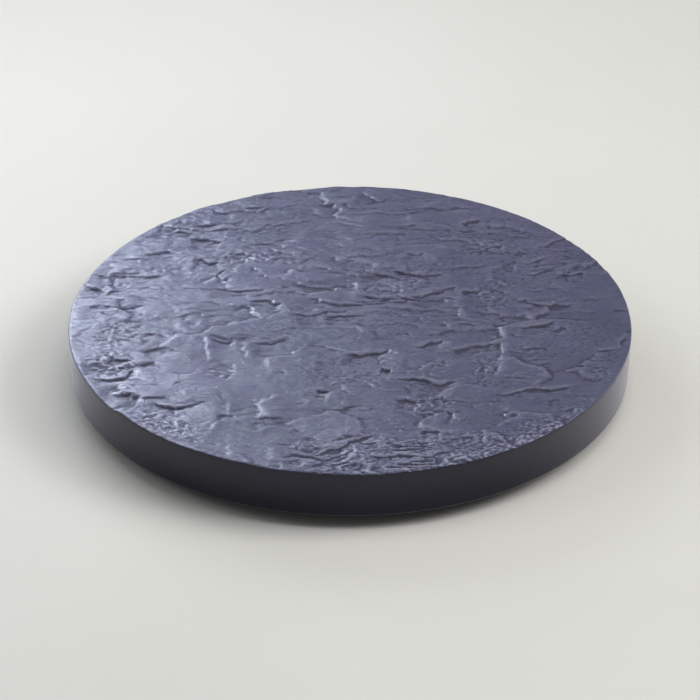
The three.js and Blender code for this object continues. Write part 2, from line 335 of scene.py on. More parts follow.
LEDGES = [
    ([(-111.5, -11.1), (-103.1, -11.9), (-94.6, -15.6)], 1.3),
    ([(-90.1, 7.2), (-79.5, 4.3)], 1.0),
    ([(-74.8, -14.0), (-67.4, -17.2), (-60.1, -16.8)], 1.0),
    ([(-53.8, -20.8), (-41.3, -20.2), (-36.2, -15.8), (-31.0, -8.7)], 0.95),
    ([(-28.8, -18.4), (-13.2, -22.4), (-0.7, -29.8)], 0.55),
    ([(-109.7, -29.8), (-100.5, -24.8), (-93.3, -22.4)], 0.9),
    ([(-111.3, -43.7), (-102.2, -37.2)], 0.9),
    ([(-126.2, -33.2), (-115.6, -37.6)], 1.35),
    ([(-136.5, -55.5), (-125.2, -55.9), (-118.1, -54.1), (-112.1, -47.6)], 1.4),
    ([(-121.5, -71.1), (-113.2, -72.8)], 1.5),
    ([(-111.4, -79.8), (-100.6, -81.7), (-87.3, -84.6), (-70.1, -80.4)], 1.3),
    ([(-72.0, -43.7), (-60.1, -43.7)], 0.9),
    ([(-42.0, -48.6), (-32.7, -48.6)], 0.6),
    ([(-18.2, -68.6), (-10.0, -70.5)], 1.1),
    ([(-47.4, -97.4), (-30.2, -95.9)], 0.7),
    ([(-66.7, -93.6), (-57.6, -96.2)], 0.6),
    ([(-91.4, -116.3), (-78.2, -119.1)], 0.9),
    ([(-68.0, -128.6), (-57.8, -133.0)], 0.7),
    ([(-48.8, -133.8), (-34.8, -135.6), (-22.8, -133.8), (-11.8, -123.7), (2.0, -116.8), (5.0, -115.9), (15.1, -108.7)], 1.8),
    ([(-32.7, -145.9), (-21.8, -140.4), (-10.8, -133.8), (2.0, -127.1)], 1.6),
    ([(-22.7, -148.1), (-14.8, -144.1), (-4.8, -141.2)], 0.9),
    ([(-76.2, -80.7), (-65.7, -70.1)], 0.5),
    ([(-95.0, -66.2), (-88.0, -60.4)], 0.5),
    ([(-3.0, -30.8), (6.3, -32.0), (16.7, -30.0), (21.9, -24.8)], 1.2),
    ([(34.4, -22.2), (41.8, -18.8), (51.3, -14.2)], 0.9),
    ([(52.1, -25.8), (60.4, -26.2), (68.8, -21.8), (76.2, -18.0)], 1.35),
    ([(88.0, -7.1), (96.6, -2.6), (110.4, 1.9)], 1.3),
    ([(111.2, -3.0), (116.3, -6.3)], 1.1),
    ([(23.7, -58.4), (40.1, -57.5), (47.3, -60.4), (58.6, -58.0)], 1.45),
    ([(71.7, -70.1), (80.9, -70.5), (91.3, -65.5), (106.6, -66.6), (123.2, -62.0)], 1.5),
    ([(16.6, -47.1), (22.9, -50.2)], 1.4),
    ([(23.5, -75.9), (37.8, -78.2)], 0.85),
    ([(41.9, -75.9), (50.1, -75.9)], 0.8),
    ([(32.5, -91.3), (44.7, -91.3)], 1.0),
    ([(49.8, -90.9), (54.8, -92.4)], 1.1),
    ([(36.3, -108.4), (47.4, -108.4)], 0.8),
    ([(69.4, -118.1), (87.6, -113.6)], 0.9),
    ([(118.4, -43.9), (124.3, -38.0)], 0.9),
    ([(127.8, -29.2), (141.5, -24.8), (147.7, -6.7)], 1.0),
    ([(95.3, 53.0), (112.7, 60.2)], 0.9),
    ([(2.0, -120.6), (16.1, -117.8), (29.1, -121.5), (41.2, -116.8)], 1.0),
    ([(8.9, -132.7), (26.0, -129.9), (40.0, -132.7), (56.1, -127.1)], 1.1),
    ([(44.2, -121.5), (56.3, -115.9), (66.4, -116.8)], 0.7),
    ([(93.2, -40.7), (107.7, -38.8)], 0.5),
    ([(98.0, -77.9), (109.3, -75.9)], 0.7),
    ([(103.7, -89.4), (117.1, -85.5)], 0.8),
    ([(75.7, -0.6), (83.0, -1.6)], 0.7),
    ([(115.1, 40.7), (120.4, 64.0)], 0.5),
    ([(59.6, 33.4), (72.4, 34.5)], 0.8),
    ([(65.7, 19.9), (74.1, 21.0)], 0.6),
]
WALLS = [
    ([(-75.7, -12.7), (-75.8, -24.8), (-74.6, -40.7)], 0.85),
    ([(-54.9, -15.8), (-56.8, -26.8), (-53.0, -35.2)], 0.6),
    ([(80.9, -16.8), (81.6, -38.8), (76.6, -58.4)], 0.62),
    ([(118.9, 68.2), (118.8, 38.7)], 0.5),
    ([(66.6, -106.5), (66.8, -121.5)], 0.8),
    ([(-59.0, -72.1), (-62.0, -79.8), (-65.6, -98.9), (-78.2, -119.6)], 0.45),
]
PATCHES = [
    (-126.3, -42.6, 15.0, 15.8, 1.25),
    (-122.3, -13.7, 13.1, 15.2, 0.85),
    (-98.9, -102.5, 19.2, 17.0, 0.85),
    (-67.2, -49.6, 8.2, 10.8, 1.0),
    (-47.8, -100.8, 4.6, 9.5, 0.7),
    (-128.6, 10.8, 15.3, 15.4, 0.45),
    (-122.4, -73.0, 12.3, 12.6, 0.8),
    (69.3, -41.6, 9.3, 18.8, 1.15),
    (39.8, -82.7, 17.4, 10.6, 1.15),
    (107.6, -80.7, 11.7, 10.6, 0.9),
    (16.6, -38.7, 7.2, 11.9, 0.9),
    (103.6, -105.5, 16.6, 11.3, 0.55),
    (79.7, 27.4, 11.6, 28.1, 0.8),
    (130.1, -46.5, 12.4, 17.8, 0.8),
    (45.5, -40.7, 8.2, 7.9, 0.9),
]
LAYERED = [
    (21.5, -127.4, 50.6, 20.0, 1.0),
    (-18.9, -139.1, 20.9, 12.0, 0.7),
    (62.0, -126.0, 40.0, 17.0, 1.0),
    (97.0, -106.0, 20.0, 12.0, 0.6),
    (24.7, -58.4, 28.8, 13.7, 0.25),
    (88.8, -46.2, 20.6, 33.5, 0.2),
]


# ---- riven slate relief, in mm: 0 is the plane of the high points, down to about -2 ----
SPAN = 312.0
GRID = 1040
STEP = SPAN / GRID


def smooth(e0, e1, x):
    t = np.clip((x - e0) / (e1 - e0), 0.0, 1.0)
    return t * t * (3.0 - 2.0 * t)


def spectrum(rng, amp):
    out = np.fft.irfft2(
        np.fft.rfft2(rng.standard_normal((GRID, GRID))) * amp, s=(GRID, GRID)
    )
    return out / out.std()


def waves(turn=0.0):
    kx = np.fft.rfftfreq(GRID, STEP)[None, :]
    ky = np.fft.fftfreq(GRID, STEP)[:, None]
    c, s = np.cos(turn), np.sin(turn)
    return kx * c + ky * s, -kx * s + ky * c


def field(rng, lx, ly, fall=2.6, turn=0.0):
    """Fractal noise with outer scale lx by ly mm, unit spread."""
    u, v = waves(turn)
    amp = (1.0 + (2 * np.pi * u * lx) ** 2 + (2 * np.pi * v * ly) ** 2) ** (-fall / 2)
    amp[0, 0] = 0.0
    return spectrum(rng, amp)


def band(rng, lx, ly, sharp=4.0, turn=0.0):
    """Noise of one scale."""
    u, v = waves(turn)
    q = np.sqrt((u * lx) ** 2 + (v * ly) ** 2) + 1e-9
    amp = np.exp(-sharp * np.log(q) ** 2)
    amp[0, 0] = 0.0
    return spectrum(rng, amp)


def blur(a, lx, ly=None):
    u, v = waves()
    ly = lx if ly is None else ly
    k = np.exp(-2 * np.pi**2 * ((u * lx) ** 2 + (v * ly) ** 2))
    return np.fft.irfft2(np.fft.rfft2(a) * k, s=(GRID, GRID))


def steps(x, riser):
    """A staircase less its own slope: flats that dip, then jump up over a share riser of each tread."""
    f = x - np.floor(x)
    return smooth(1.0 - riser, 1.0, f) - f


def facets(rng, X, Y, count, stretch):
    """Tilted flat facets that meet in soft creases: nearest of jittered seeds, each with its own plane."""
    seeds = rng.uniform(-165, 165, (count, 2))
    tilt = rng.normal(0, 1, (count, 2))
    lift = rng.normal(0, 1, count)
    acc = np.zeros(X.shape)
    total = np.full(X.shape, 1e-300)
    for (sx, sy), (tx, ty), l in zip(seeds, tilt, lift):
        dx, dy = X - sx, Y - sy
        w = np.exp(-(dx * dx + (dy * stretch) ** 2) / 26.0)
        acc += w * (0.012 * tx * dx + 0.018 * ty * dy + 0.045 * l)
        total += w
    return acc / total


def coarse(a):
    return a[::4, ::4]


def fine(a):
    """Back from every fourth sample to all of them."""
    t = np.arange(GRID) / 4.0
    i = np.minimum(t.astype(int), a.shape[0] - 2)
    f = np.clip(t - i, 0, 1)
    rows = a[i] * (1 - f)[:, None] + a[i + 1] * f[:, None]
    return rows[:, i] * (1 - f)[None, :] + rows[:, i + 1] * f[None, :]


def near(pts, wx, wy):
    """Distance to a polyline, which side of it (positive to the left of its run), and how far along."""
    pts = np.array(pts, float)
    total = np.sqrt((np.diff(pts, axis=0) ** 2).sum(1)).sum()
    best = np.full(wx.shape, 1e9)
    side = np.zeros(wx.shape)
    along = np.zeros(wx.shape)
    run = 0.0
    for a, b in zip(pts[:-1], pts[1:]):
        d = b - a
        n2 = d @ d
        t = np.clip(((wx - a[0]) * d[0] + (wy - a[1]) * d[1]) / n2, 0, 1)
        dist = np.hypot(wx - a[0] - t * d[0], wy - a[1] - t * d[1])
        closer = dist < best
        best = np.where(closer, dist, best)
        side = np.where(closer, np.sign(d[0] * (wy - a[1]) - d[1] * (wx - a[0])), side)
        along = np.where(closer, run + t * np.sqrt(n2), along)
        run += np.sqrt(n2)
    return best, best * side, along / total


def slate():
    rng = np.random.default_rng(71)
    axis = (np.arange(GRID) + 0.5) * STEP - SPAN / 2
    X, Y = np.meshgrid(axis, axis)
    rough1 = field(rng, 5.0, 4.0, 2.2)
    rough2 = field(rng, 5.0, 4.0, 2.2)
    WX = X + 1.6 * rough1
    WY = Y + 1.2 * rough2

    H = 0.20 * field(rng, 16.0, 11.0, 4.2)
    H += 0.10 * field(rng, 6.0, 4.0, 3.4)
    WF = coarse(X) + 2.2 * coarse(rough2), coarse(Y) + 1.6 * coarse(rough1)
    H += 1.5 * fine(facets(rng, *WF, 190, 1.5))

    # broken layers: ledges that come and go, never a closed ring
    for k, (lx, ly, gap, riser, height) in enumerate(
        [(20, 9, 24, 0.035, 0.62), (14, 6, 15, 0.055, 0.50), (9, 4, 9, 0.085, 0.36)]
    ):
        slope = WY / gap + 0.34 * field(rng, lx, ly, 2.7) + 0.09 * rough1
        calm = 0.75 * (1 - smooth(-40.0, 30.0, Y))
        alive = smooth(0.35, 1.3, field(rng, 11.0, 5.0, 3.0) + 0.25 * k - calm)
        # only where the layers climb away from the front, so that no riser closes on itself
        climb = np.gradient(blur(slope, 1.2), STEP, axis=0) * gap
        alive = blur(alive * smooth(0.05, 0.55, climb), 0.8)
        H += height * alive * steps(slope, riser)

    patches = np.zeros_like(H)
    edge = 0.55 * field(rng, 8.0, 5.0, 2.6)
    for x, y, a, b, k in PATCHES:
        q = np.sqrt(((X - x) / a) ** 2 + ((Y - y) / b) ** 2) + 0.4 * edge
        patches = np.maximum(patches, k * (1.0 - smooth(0.45, 1.3, q)))
    wild = smooth(0.7, 2.2, field(rng, 15.0, 8.0, 3.0)) * smooth(-25.0, 25.0, Y)
    patches = np.maximum(patches, 0.8 * wild)

    # flaky patches: small ragged layers, and lumps and pits between them
    f1 = steps(1.1 * field(rng, 7.0, 3.6, 2.4) + WY / 7.5, 0.2)
    g1 = band(rng, 6.5, 5.0, 3.0)
    g2 = band(rng, 3.6, 3.0, 3.0)
    f4 = steps(0.9 * field(rng, 4.5, 2.2, 2.3) + WY / 4.2, 0.25)
    lumps = np.tanh(1.2 * g1) * 0.17 + np.tanh(1.3 * g2) * 0.11
    H += patches * (0.50 * f1 + 0.26 * f4 + lumps)

    # fine layering: long thin ledges lying over each other
    lay = np.zeros_like(H)
    for x, y, a, b, k in LAYERED:
        q = np.sqrt(((X - x) / a) ** 2 + ((Y - y) / b) ** 2) + 0.3 * edge
        lay = np.maximum(lay, k * (1.0 - smooth(0.6, 1.25, q)))
    f2 = steps(1.15 * field(rng, 13.0, 4.5, 2.5) + (WY - 0.16 * WX) / 8.5, 0.11)
    f3 = steps(1.2 * field(rng, 7.5, 3.0, 2.4) + (WY - 0.10 * WX) / 5.5, 0.22)
    alive = 0.25 + 0.75 * smooth(-0.5, 0.9, field(rng, 9.0, 4.0, 3.0))
    H += lay * alive * (1.6 * f2 + 0.6 * f3)
    H += lay * 0.15 * np.tanh(g2)

    # chipped stretch of the rim at the front right
    R = np.hypot(X, Y)
    turn = np.degrees(np.arctan2(Y, X))
    chips = smooth(138.0, 146.0, R) * smooth(-84.0, -74.0, turn) * smooth(-22.0, -34.0, turn)
    H += chips * (1 - 0.6 * np.clip(patches, 0, 1)) * (0.42 * steps(1.1 * field(rng, 3.4, 2.2, 2.2) + WY / 3.4, 0.3) + 0.14 * np.tanh(1.5 * g2))

    # overall skin: soft grain that runs with the layers
    every = 0.35 + 0.65 * smooth(-1.0, 1.6, field(rng, 12.0, 8.0, 3.0))
    every = every * (1.0 + 0.5 * smooth(-90.0, -20.0, X))
    H += every * (0.060 * band(rng, 6.0, 3.0, 2.0) + 0.038 * band(rng, 3.0, 1.7, 2.5))
    flaky = smooth(-0.2, 1.2, field(rng, 13.0, 8.0, 3.0))
    H += 0.18 * flaky * steps(0.7 * field(rng, 6.0, 2.4, 2.3) + WY / 3.6, 0.3)

    # single ledges: the ground drops on the south side of the line, and climbs back over a few mm
    crack_rng = np.random.default_rng(5)
    lines = list(LEDGES)
    for _ in range(70):
        x, y = crack_rng.uniform(-140, 140), crack_rng.uniform(0, 145)
        n = int(crack_rng.integers(3, 6))
        length = crack_rng.uniform(8, 40)
        slope = crack_rng.normal(0.0, 0.2)
        wander = crack_rng.normal(0, 1.6, n)
        depth = crack_rng.uniform(0.45, 1.4)
        if x * x + y * y > 142**2:
            continue
        p = [
            (x + t * length, y + t * length * slope + w)
            for t, w in zip(np.linspace(-0.5, 0.5, n), wander)
        ]
        lines.append((p, depth))
    for pts, depth in lines:
        p = np.array(pts, float)
        depth = depth * (1.0 + 0.35 * smooth(-60.0, 0.0, p[:, 0].mean()) * smooth(20.0, 0.0, p[:, 1].mean()))
        lo, hi = p.min(0) - 14, p.max(0) + 14
        j0, j1 = np.searchsorted(axis, (lo[0], hi[0]))
        i0, i1 = np.searchsorted(axis, (lo[1], hi[1]))
        if j1 - j0 < 2 or i1 - i0 < 2:
            continue
        c = np.s_[i0:i1, j0:j1]
        best, s, t = near(pts, X[c] + 0.7 * rough1[c], Y[c] + 1.1 * rough2[c])
        ends = smooth(0, 0.25, t) * smooth(0, 0.25, 1 - t)
        depth = depth * np.clip(1.0 + 0.5 * rough1[c], 0.15, 1.7)
        south = 1 - smooth(-0.50, 0.10, s)
        drop = -0.62 * depth * south * np.exp(np.minimum(s + 0.5, 0) / 7.0)
        groove = -0.22 * depth * np.exp(-(((s + 0.6) / 0.5) ** 2))
        lip = 0.07 * depth * np.exp(-np.maximum(s, 0) / 3.4) * (1 - south)
        H[c] += ends * (1 - smooth(9.0, 14.0, best)) * (drop + groove + lip)

    # low walls that run away from the front
    for pts, height in WALLS:
        p = np.array(pts, float)
        lo, hi = p.min(0) - 9, p.max(0) + 9
        j0, j1 = np.searchsorted(axis, (lo[0], hi[0]))
        i0, i1 = np.searchsorted(axis, (lo[1], hi[1]))
        c = np.s_[i0:i1, j0:j1]
        best, s, t = near(pts, X[c] + 0.9 * rough2[c], Y[c] + 0.6 * rough1[c])
        ends = smooth(0, 0.2, t) * smooth(0, 0.2, 1 - t)
        rise = 0.55 * smooth(-0.9, 0.5, s) * np.exp(-np.maximum(s, 0) / 5.0)
        ditch = -0.16 * np.exp(-(((s + 2.0) / 1.6) ** 2))
        H[c] += ends * height * (rise + ditch) * (1 - smooth(4.0, 9.0, best))
    # where the painted highlight on the raised lips is stronger: the chipped rim, the layered stretches and the flaky
    # patches on the left
    highlight_reach = np.clip(0.55 * chips * smooth(141.0, 147.0, R) + 0.35 * lay + 0.25 * patches * smooth(40.0, -40.0, X), 0, 1)
    return axis, H, highlight_reach


# ------------------------------------------------------------------ castor pieces
# Each is built about the swivel axis, trailing along -X with the axle along Y, then turned to trail along -Y.
def rounded_square(half, r, per_side, per_corner):
    pts = []
    for k in range(4):
        a = k * math.pi / 2
        c, s = math.cos(a), math.sin(a)
        side = [
            (half, -half + r + (2 * half - 2 * r) * i / per_side)
            for i in range(per_side)
        ]
        corner = [
            (
                half - r + r * math.cos(math.pi / 2 * i / per_corner),
                half - r + r * math.sin(math.pi / 2 * i / per_corner),
            )
            for i in range(per_corner)
        ]
        pts += [(x * c - y * s, x * s + y * c) for x, y in side + corner]
    return np.array(pts)


def ease(e0, e1, x):
    t = min(1.0, max(0.0, (x - e0) / (e1 - e0)))
    return t * t * (3 - 2 * t)


def build_plate():
    rim = rounded_square(PLATE_HALF, 4.0, 14, 8)
    theta = np.arctan2(rim[:, 1], rim[:, 0])
    m = len(rim)
    top, bot = DOME_TOP, PLATE_Z

    def z_top(r):
        lip = 0.10 * math.exp(-(((r - 15.9) / 0.5) ** 2))
        return (PLATE_Z + PLATE_T) + (top - PLATE_Z - PLATE_T) * (
            1 - ease(12.7, 15.4, r)
        ) - lip

    def z_bot(r):
        race = 0.16 * math.exp(-(((r - 9.0) / 0.75) ** 2))
        return bot + (DOME_Z - bot) * (1 - ease(11.9, 14.5, r)) + race

    bore = 3.08
    radii_top = [bore, 3.2, 3.4, 7, 11.5, 12.7, 13.1, 13.5, 13.9, 14.3, 14.7, 15.1, 15.4, 15.7, 16.0, 16.5]
    radii_bot = [bore, 3.2, 3.4, 6.5, 7.8, 8.2, 8.6, 9.0, 9.4, 9.8, 10.2, 11.2, 11.9, 12.3, 12.7, 13.1, 13.5, 13.9, 14.3, 14.6, 15.2, 16.5]
    rings = []  # closed section: bottom from bore outwards, round the rim, top inwards
    nick = 0.12

    def circle(r, z):
        return [(r * math.cos(t), r * math.sin(t), z) for t in theta]

    def outline(share, inset, z):
        length = np.hypot(rim[:, 0], rim[:, 1])
        out = []
        for (x, y), l, t in zip(rim, length, theta):
            reach = (l - inset) * share + 16.5 * (1 - share)
            out.append((reach * math.cos(t), reach * math.sin(t), z))
        return out

    for i, r in enumerate(radii_bot):
        rings.append(circle(r, z_bot(r) + (nick if i == 0 else 0.03 if i == 1 else 0)))
    for share in (0.4, 0.8):
        rings.append(outline(share, 0.4, bot))
    e = 0.32
    for k in range(5):
        a = math.pi / 2 * k / 4
        rings.append(outline(1.0, e * (1 - math.sin(a)), bot + e * (1 - math.cos(a))))
    zt = PLATE_Z + PLATE_T
    for k in range(5):
        a = math.pi / 2 * k / 4
        rings.append(outline(1.0, e * (1 - math.cos(a)), zt - e * (1 - math.sin(a))))
    for share in (0.8, 0.4):
        rings.append(outline(share, 0.4, zt))
    for i, r in enumerate(reversed(radii_top)):
        last = len(radii_top) - 1
        rings.append(circle(r, z_top(r) - (nick if i == last else 0.03 if i == last - 1 else 0)))
    verts = [p for ring in rings for p in ring]
    faces = []
    n = len(rings)
    for k in range(n):
        for i in range(m):
            j = (i + 1) % m
            a, b = k * m, ((k + 1) % n) * m
            faces.append((a + i, b + i, b + j, a + j))
    ob = obj_from("plate", verts, faces)
    fix_normals(ob)
    cutters = [
        moved(
            spin(
                "hole",
                [
                    (0, bot - 1),
                    (2.9, bot - 1),
                    (1.9, bot + 0.25, 0.3, 2),
                    (1.9, zt - 0.2, 0.3, 2),
                    (2.6, zt + 1),
                    (0, zt + 1),
                ],
                24,
            ),
            ax * HOLE_AT,
            ay * HOLE_AT,
        )
        for ax in (-1, 1)
        for ay in (-1, 1)
    ]
    return cut(ob, merge("holes", cutters))


def fix_normals(ob):
    """Turns every face outwards."""
    import bmesh

    bm = bmesh.new()
    bm.from_mesh(ob.data)
    bmesh.ops.recalc_face_normals(bm, faces=bm.faces)
    if bm.calc_volume(signed=True) < 0:
        bmesh.ops.reverse_faces(bm, faces=bm.faces)
    bm.to_mesh(ob.data)
    bm.free()
    return ob


def build_kingpin():
    lo, hi = pin_lo.z / MM, pin_hi.z / MM
    return spin(
        "kingpin",
        [
            (0, lo + 0.55),
            (0.9, lo + 0.5, 0.4),
            (1.7, lo, 0.5),
            (3.7, lo, 0.8, 6),
            (4.6, lo + 0.8, 0.7, 6),
            (4.6, CROWN_Z - 0.1, 0.2),
            (3.0, CROWN_Z - 0.1, 0.1),
            (3.0, DOME_TOP + 0.05, 0.1),
            (4.5, DOME_TOP + 0.05, 0.2),
            (4.2, hi - 0.45, 0.8, 6),
            (2.6, hi, 1.2, 6),
            (0, hi),
        ],
        64,
    )


def build_ball_ring():
    z = (CROWN_TOP + DOME_Z) / 2
    cage = spin(
        "cage",
        [
            (7.5, z - 0.3, 0.2),
            (10.5, z - 0.3, 0.2),
            (10.5, z + 0.3, 0.2),
            (7.5, z + 0.3, 0.2),
        ],
        72,
        closed=True,
    )
    at = [(9 * math.cos(i * math.pi / 3), 9 * math.sin(i * math.pi / 3)) for i in range(6)]
    pockets = [
        moved(
            spin(
                "pocket",
                [(0, z - 1), (1.25, z - 1), (1.02, z - 0.2), (1.02, z + 0.2), (1.25, z + 1), (0, z + 1)],
                20,
            ),
            x,
            y,
        )
        for x, y in at
    ]
    cage = cut(cage, merge("pockets", pockets))
    balls = []
    for x, y in at:
        arc = [
            (0.92 * math.cos(t), z + 0.92 * math.sin(t))
            for t in np.linspace(-math.pi / 2, math.pi / 2, 15)
        ]
        arc[0], arc[-1] = (0, z - 0.92), (0, z + 0.92)
        balls.append(moved(spin("ball", arc, 24), x, y))
    return merge("ball_ring", [cage] + balls)


def build_fork():
    o, i = AXLE_HALF - 1.3, AXLE_HALF - 1.3 - SHEET  # 9.6 and 8.2
    section = soften(
        [
            (-o, 4),
            (-i, 4),
            (-i, CROWN_Z, 0.9, 6),
            (i, CROWN_Z, 0.9, 6),
            (i, 4),
            (o, 4),
            (o, CROWN_TOP, 2.3, 8),
            (-o, CROWN_TOP, 2.3, 8),
        ],
        True,
    )
    # drawn in y-z, pulled along x
    sheet = prism("sheet", section, -18, 15)
    turn(sheet, Matrix(((0, 0, 1, 0), (1, 0, 0, 0), (0, 1, 0, 0), (0, 0, 0, 1))))
    fix_normals(sheet)
    t = CROWN_TOP
    tip = [
        (-TRAIL + 4.4 * math.cos(a), WHEEL_R + 4.4 * math.sin(a))
        for a in np.linspace(math.pi * 0.98, 1.72 * math.pi, 22)
    ]
    side = soften(
        [(7.2, t + 1), (-7.2, t + 1), (-7.3, t - 0.5, 2.0), (-8.9, t - 3.2, 5, 6)]
        + tip
        + [(5.6, t - 5.6, 5.0, 8), (7.0, t - 1.2, 3.0)],
        True,
    )
    legs = prism("legs", side, -12, 12)
    turn(legs, Matrix(((1, 0, 0, 0), (0, 0, -1, 0), (0, 1, 0, 0), (0, 0, 0, 1))))
    fix_normals(legs)
    crown = spin(
        "crown",
        [(0, CROWN_Z - 0.5), (FORK_OUT, CROWN_Z - 0.5), (FORK_OUT, t + 1), (0, t + 1)],
        96,
    )
    fork = common(sheet, join(legs, crown))
    axle_hole = spin(
        "axle_hole", [(0, -13), (2.08, -13), (2.08, 13), (0, 13)], 40
    )
    turn(axle_hole, RX)
    moved(axle_hole, -TRAIL, 0, WHEEL_R)
    fork = cut(fork, axle_hole)
    pin_hole = spin("pin_hole", [(0, 20), (3.12, 20), (3.12, 30), (0, 30)], 48)
    fork = cut(fork, pin_hole)
    return bevel(fork, 0.18, 2, 48)


def build_axle():
    o = AXLE_HALF - 1.3
    half = AXLE_HALF
    ob = spin(
        "axle",
        [
            (0, -half + 0.18),
            (0.7, -half + 0.15, 0.3),
            (1.1, -half, 0.2),
            (2.3, -half, 0.6, 5),
            (3.3, -o - 0.35, 0.5, 5),
            (3.3, -o - 0.05, 0.1),
            (2.0, -o - 0.05, 0.1),
            (2.0, o + 0.05, 0.1),
            (3.3, o + 0.05, 0.1),
            (3.3, o + 0.35, 0.5, 5),
            (2.3, half, 0.6, 5),
            (1.1, half, 0.2),
            (0.7, half - 0.15, 0.3),
            (0, half - 0.18),
        ],
        48,
    )
    return moved(turn(ob, RX), -TRAIL, 0, WHEEL_R)


def build_wheel():
    e = TREAD_W / 2 - 0.3
    core = spin(
        "wheel",
        [
            (2.12, -8, 0.25),
            (4.1, -8, 0.45),
            (3.95 + 0.2, -1.3, 0.7, 5),
            (8.2, -1.3, 0.7, 5),
            (8.35, -e, 0.35),
            (9.5, -e, 0.3),
            (9.5, e, 0.3),
            (8.35, e, 0.35),
            (8.2, 1.3, 0.7, 5),
            (4.15, 1.3, 0.7, 5),
            (4.1, 8, 0.45),
            (2.12, 8, 0.25),
        ],
        96,
        closed=True,
    )
    spokes = []
    for side in (-1, 1):
        for k in range(6):
            a = k * math.pi / 3 + (math.pi / 6 if side > 0 else 0)
            bar = prism(
                "bar",
                [(3.5, -0.62), (8.8, -0.62), (8.8, 0.62), (3.5, 0.62)],
                0.8,
                4.4,
            )
            # a drafted top edge
            for v in bar.data.vertices:
                if v.co.z > 4.0 * MM:
                    v.co.y *= 0.62
                    if v.co.x > 6 * MM:
                        v.co.z -= 1.1 * MM
            bevel(bar, 0.16, 2, 30)
            if side < 0:
                turn(bar, Matrix.Rotation(math.pi, 4, "X"))
            spokes.append(turn(bar, Matrix.Rotation(a, 4, "Z")))
    core = join(core, merge("spokes", spokes))
    return moved(turn(core, RX), -TRAIL, 0, WHEEL_R)


def build_tread():
    w = TREAD_W / 2
    seam = 0.05
    ob = spin(
        "tread",
        [
            (9.6, -w, 0.25),
            (11.3, -w, 0.5, 4),
            (WHEEL_R - 0.35, -w + 0.55, 0.8, 5),
            (WHEEL_R - seam, -w + 1.7, 2.5, 4),
            (WHEEL_R - seam, -0.42),
            (WHEEL_R - seam, -0.20),
            (WHEEL_R, -0.08),
            (WHEEL_R, 0.08),
            (WHEEL_R - seam, 0.20),
            (WHEEL_R - seam, 0.42),
            (WHEEL_R - seam, w - 1.7, 2.5, 4),
            (WHEEL_R - 0.35, w - 0.55, 0.8, 5),
            (11.3, w, 0.5, 4),
            (9.6, w, 0.25),
        ],
        128,
        closed=True,
    )
    return moved(turn(ob, RX), -TRAIL, 0, WHEEL_R)


def build_screw():
    lo, hi = screw_lo.z / MM, screw_hi.z / MM
    seat = PLATE_Z - 0.05
    pitch, core, crest = 1.2, 1.12, 1.45
    head = soften(
        [
            (0, lo),
            (1.9, lo + 0.05, 0.8, 5),
            (2.9, lo + 0.65, 1.0, 6),
            (3.2, lo + 1.55, 0.4, 3),
            (3.2, seat, 0.15, 2),
            (1.6, seat, 0.1, 2),
        ],
        False,
    )
    shank = [(core, z) for z in np.arange(seat + 0.35, hi - 1.3, 0.12)]
    tip = [(0.95, hi - 0.9), (0.6, hi - 0.4), (0.2, hi - 0.06), (0, hi)]
    pts = head + shank + tip
    first, last = len(head), len(head) + len(shank)

    def radius(k, t, r, z):
        if not first <= k < last:
            return r
        f = (z / pitch - t / (2 * math.pi)) % 1.0
        ridge = max(0.0, 1.0 - abs(f - 0.5) / 0.30)
        fade = ease(0, 5, k - first) * ease(0, 6, last - 1 - k)
        return core + (crest - core) * ridge * fade

    ob = spin("screw", pts, 28, radius=radius)
    arms = []
    for a in (0, math.pi / 2):
        arm = prism("arm", [(-1.75, -0.4), (1.75, -0.4), (1.75, 0.4), (-1.75, 0.4)], lo - 0.5, lo + 1.15)
        for v in arm.data.vertices:
            if v.co.z > (lo + 0.8) * MM:
                v.co.x *= 0.42
                v.co.y *= 0.7
        arms.append(turn(arm, Matrix.Rotation(a, 4, "Z")))
    cross = join(arms[0], arms[1])
    turn(cross, Matrix.Rotation(0.35, 4, "Z"))
    return cut(ob, cross)


# ------------------------------------------------------------------ deck
RIB_T, RIB_Z = 1.8, 21.0
RING_RADII = (13.0, 46.0, 78.0)
WELL_R, WELL_T, WELL_Z = 27.5, 2.0, 17.0
TOP_EDGE = 0.9
CELLS = 540
TOP_TRIS = 115000


def sample(axis, grid, x, y):
    fx = np.clip((x - axis[0]) / STEP, 0, GRID - 1.001)
    fy = np.clip((y - axis[0]) / STEP, 0, GRID - 1.001)
    i, j = fx.astype(int), fy.astype(int)
    a, b = fx - i, fy - j
    return (grid[j, i] * (1 - a) + grid[j, i + 1] * a) * (1 - b) + (
        grid[j + 1, i] * (1 - a) + grid[j + 1, i + 1] * a
    ) * b


def disc_grid(n, radius):
    """An even grid of squares stretched into a disc. Returns x, y as (n+1, n+1) arrays."""
    s = np.linspace(-1, 1, n + 1)
    a, b = np.meshgrid(s, s)
    big = np.abs(a) >= np.abs(b)
    safe_a = np.where(a == 0, 1, a)
    safe_b = np.where(b == 0, 1, b)
    r = np.where(big, a, b)
    phi = np.where(
        big, (math.pi / 4) * (b / safe_a), math.pi / 2 - (math.pi / 4) * (a / safe_b)
    )
    r = np.where((a == 0) & (b == 0), 0, r)
    return radius * r * np.cos(phi), radius * r * np.sin(phi)


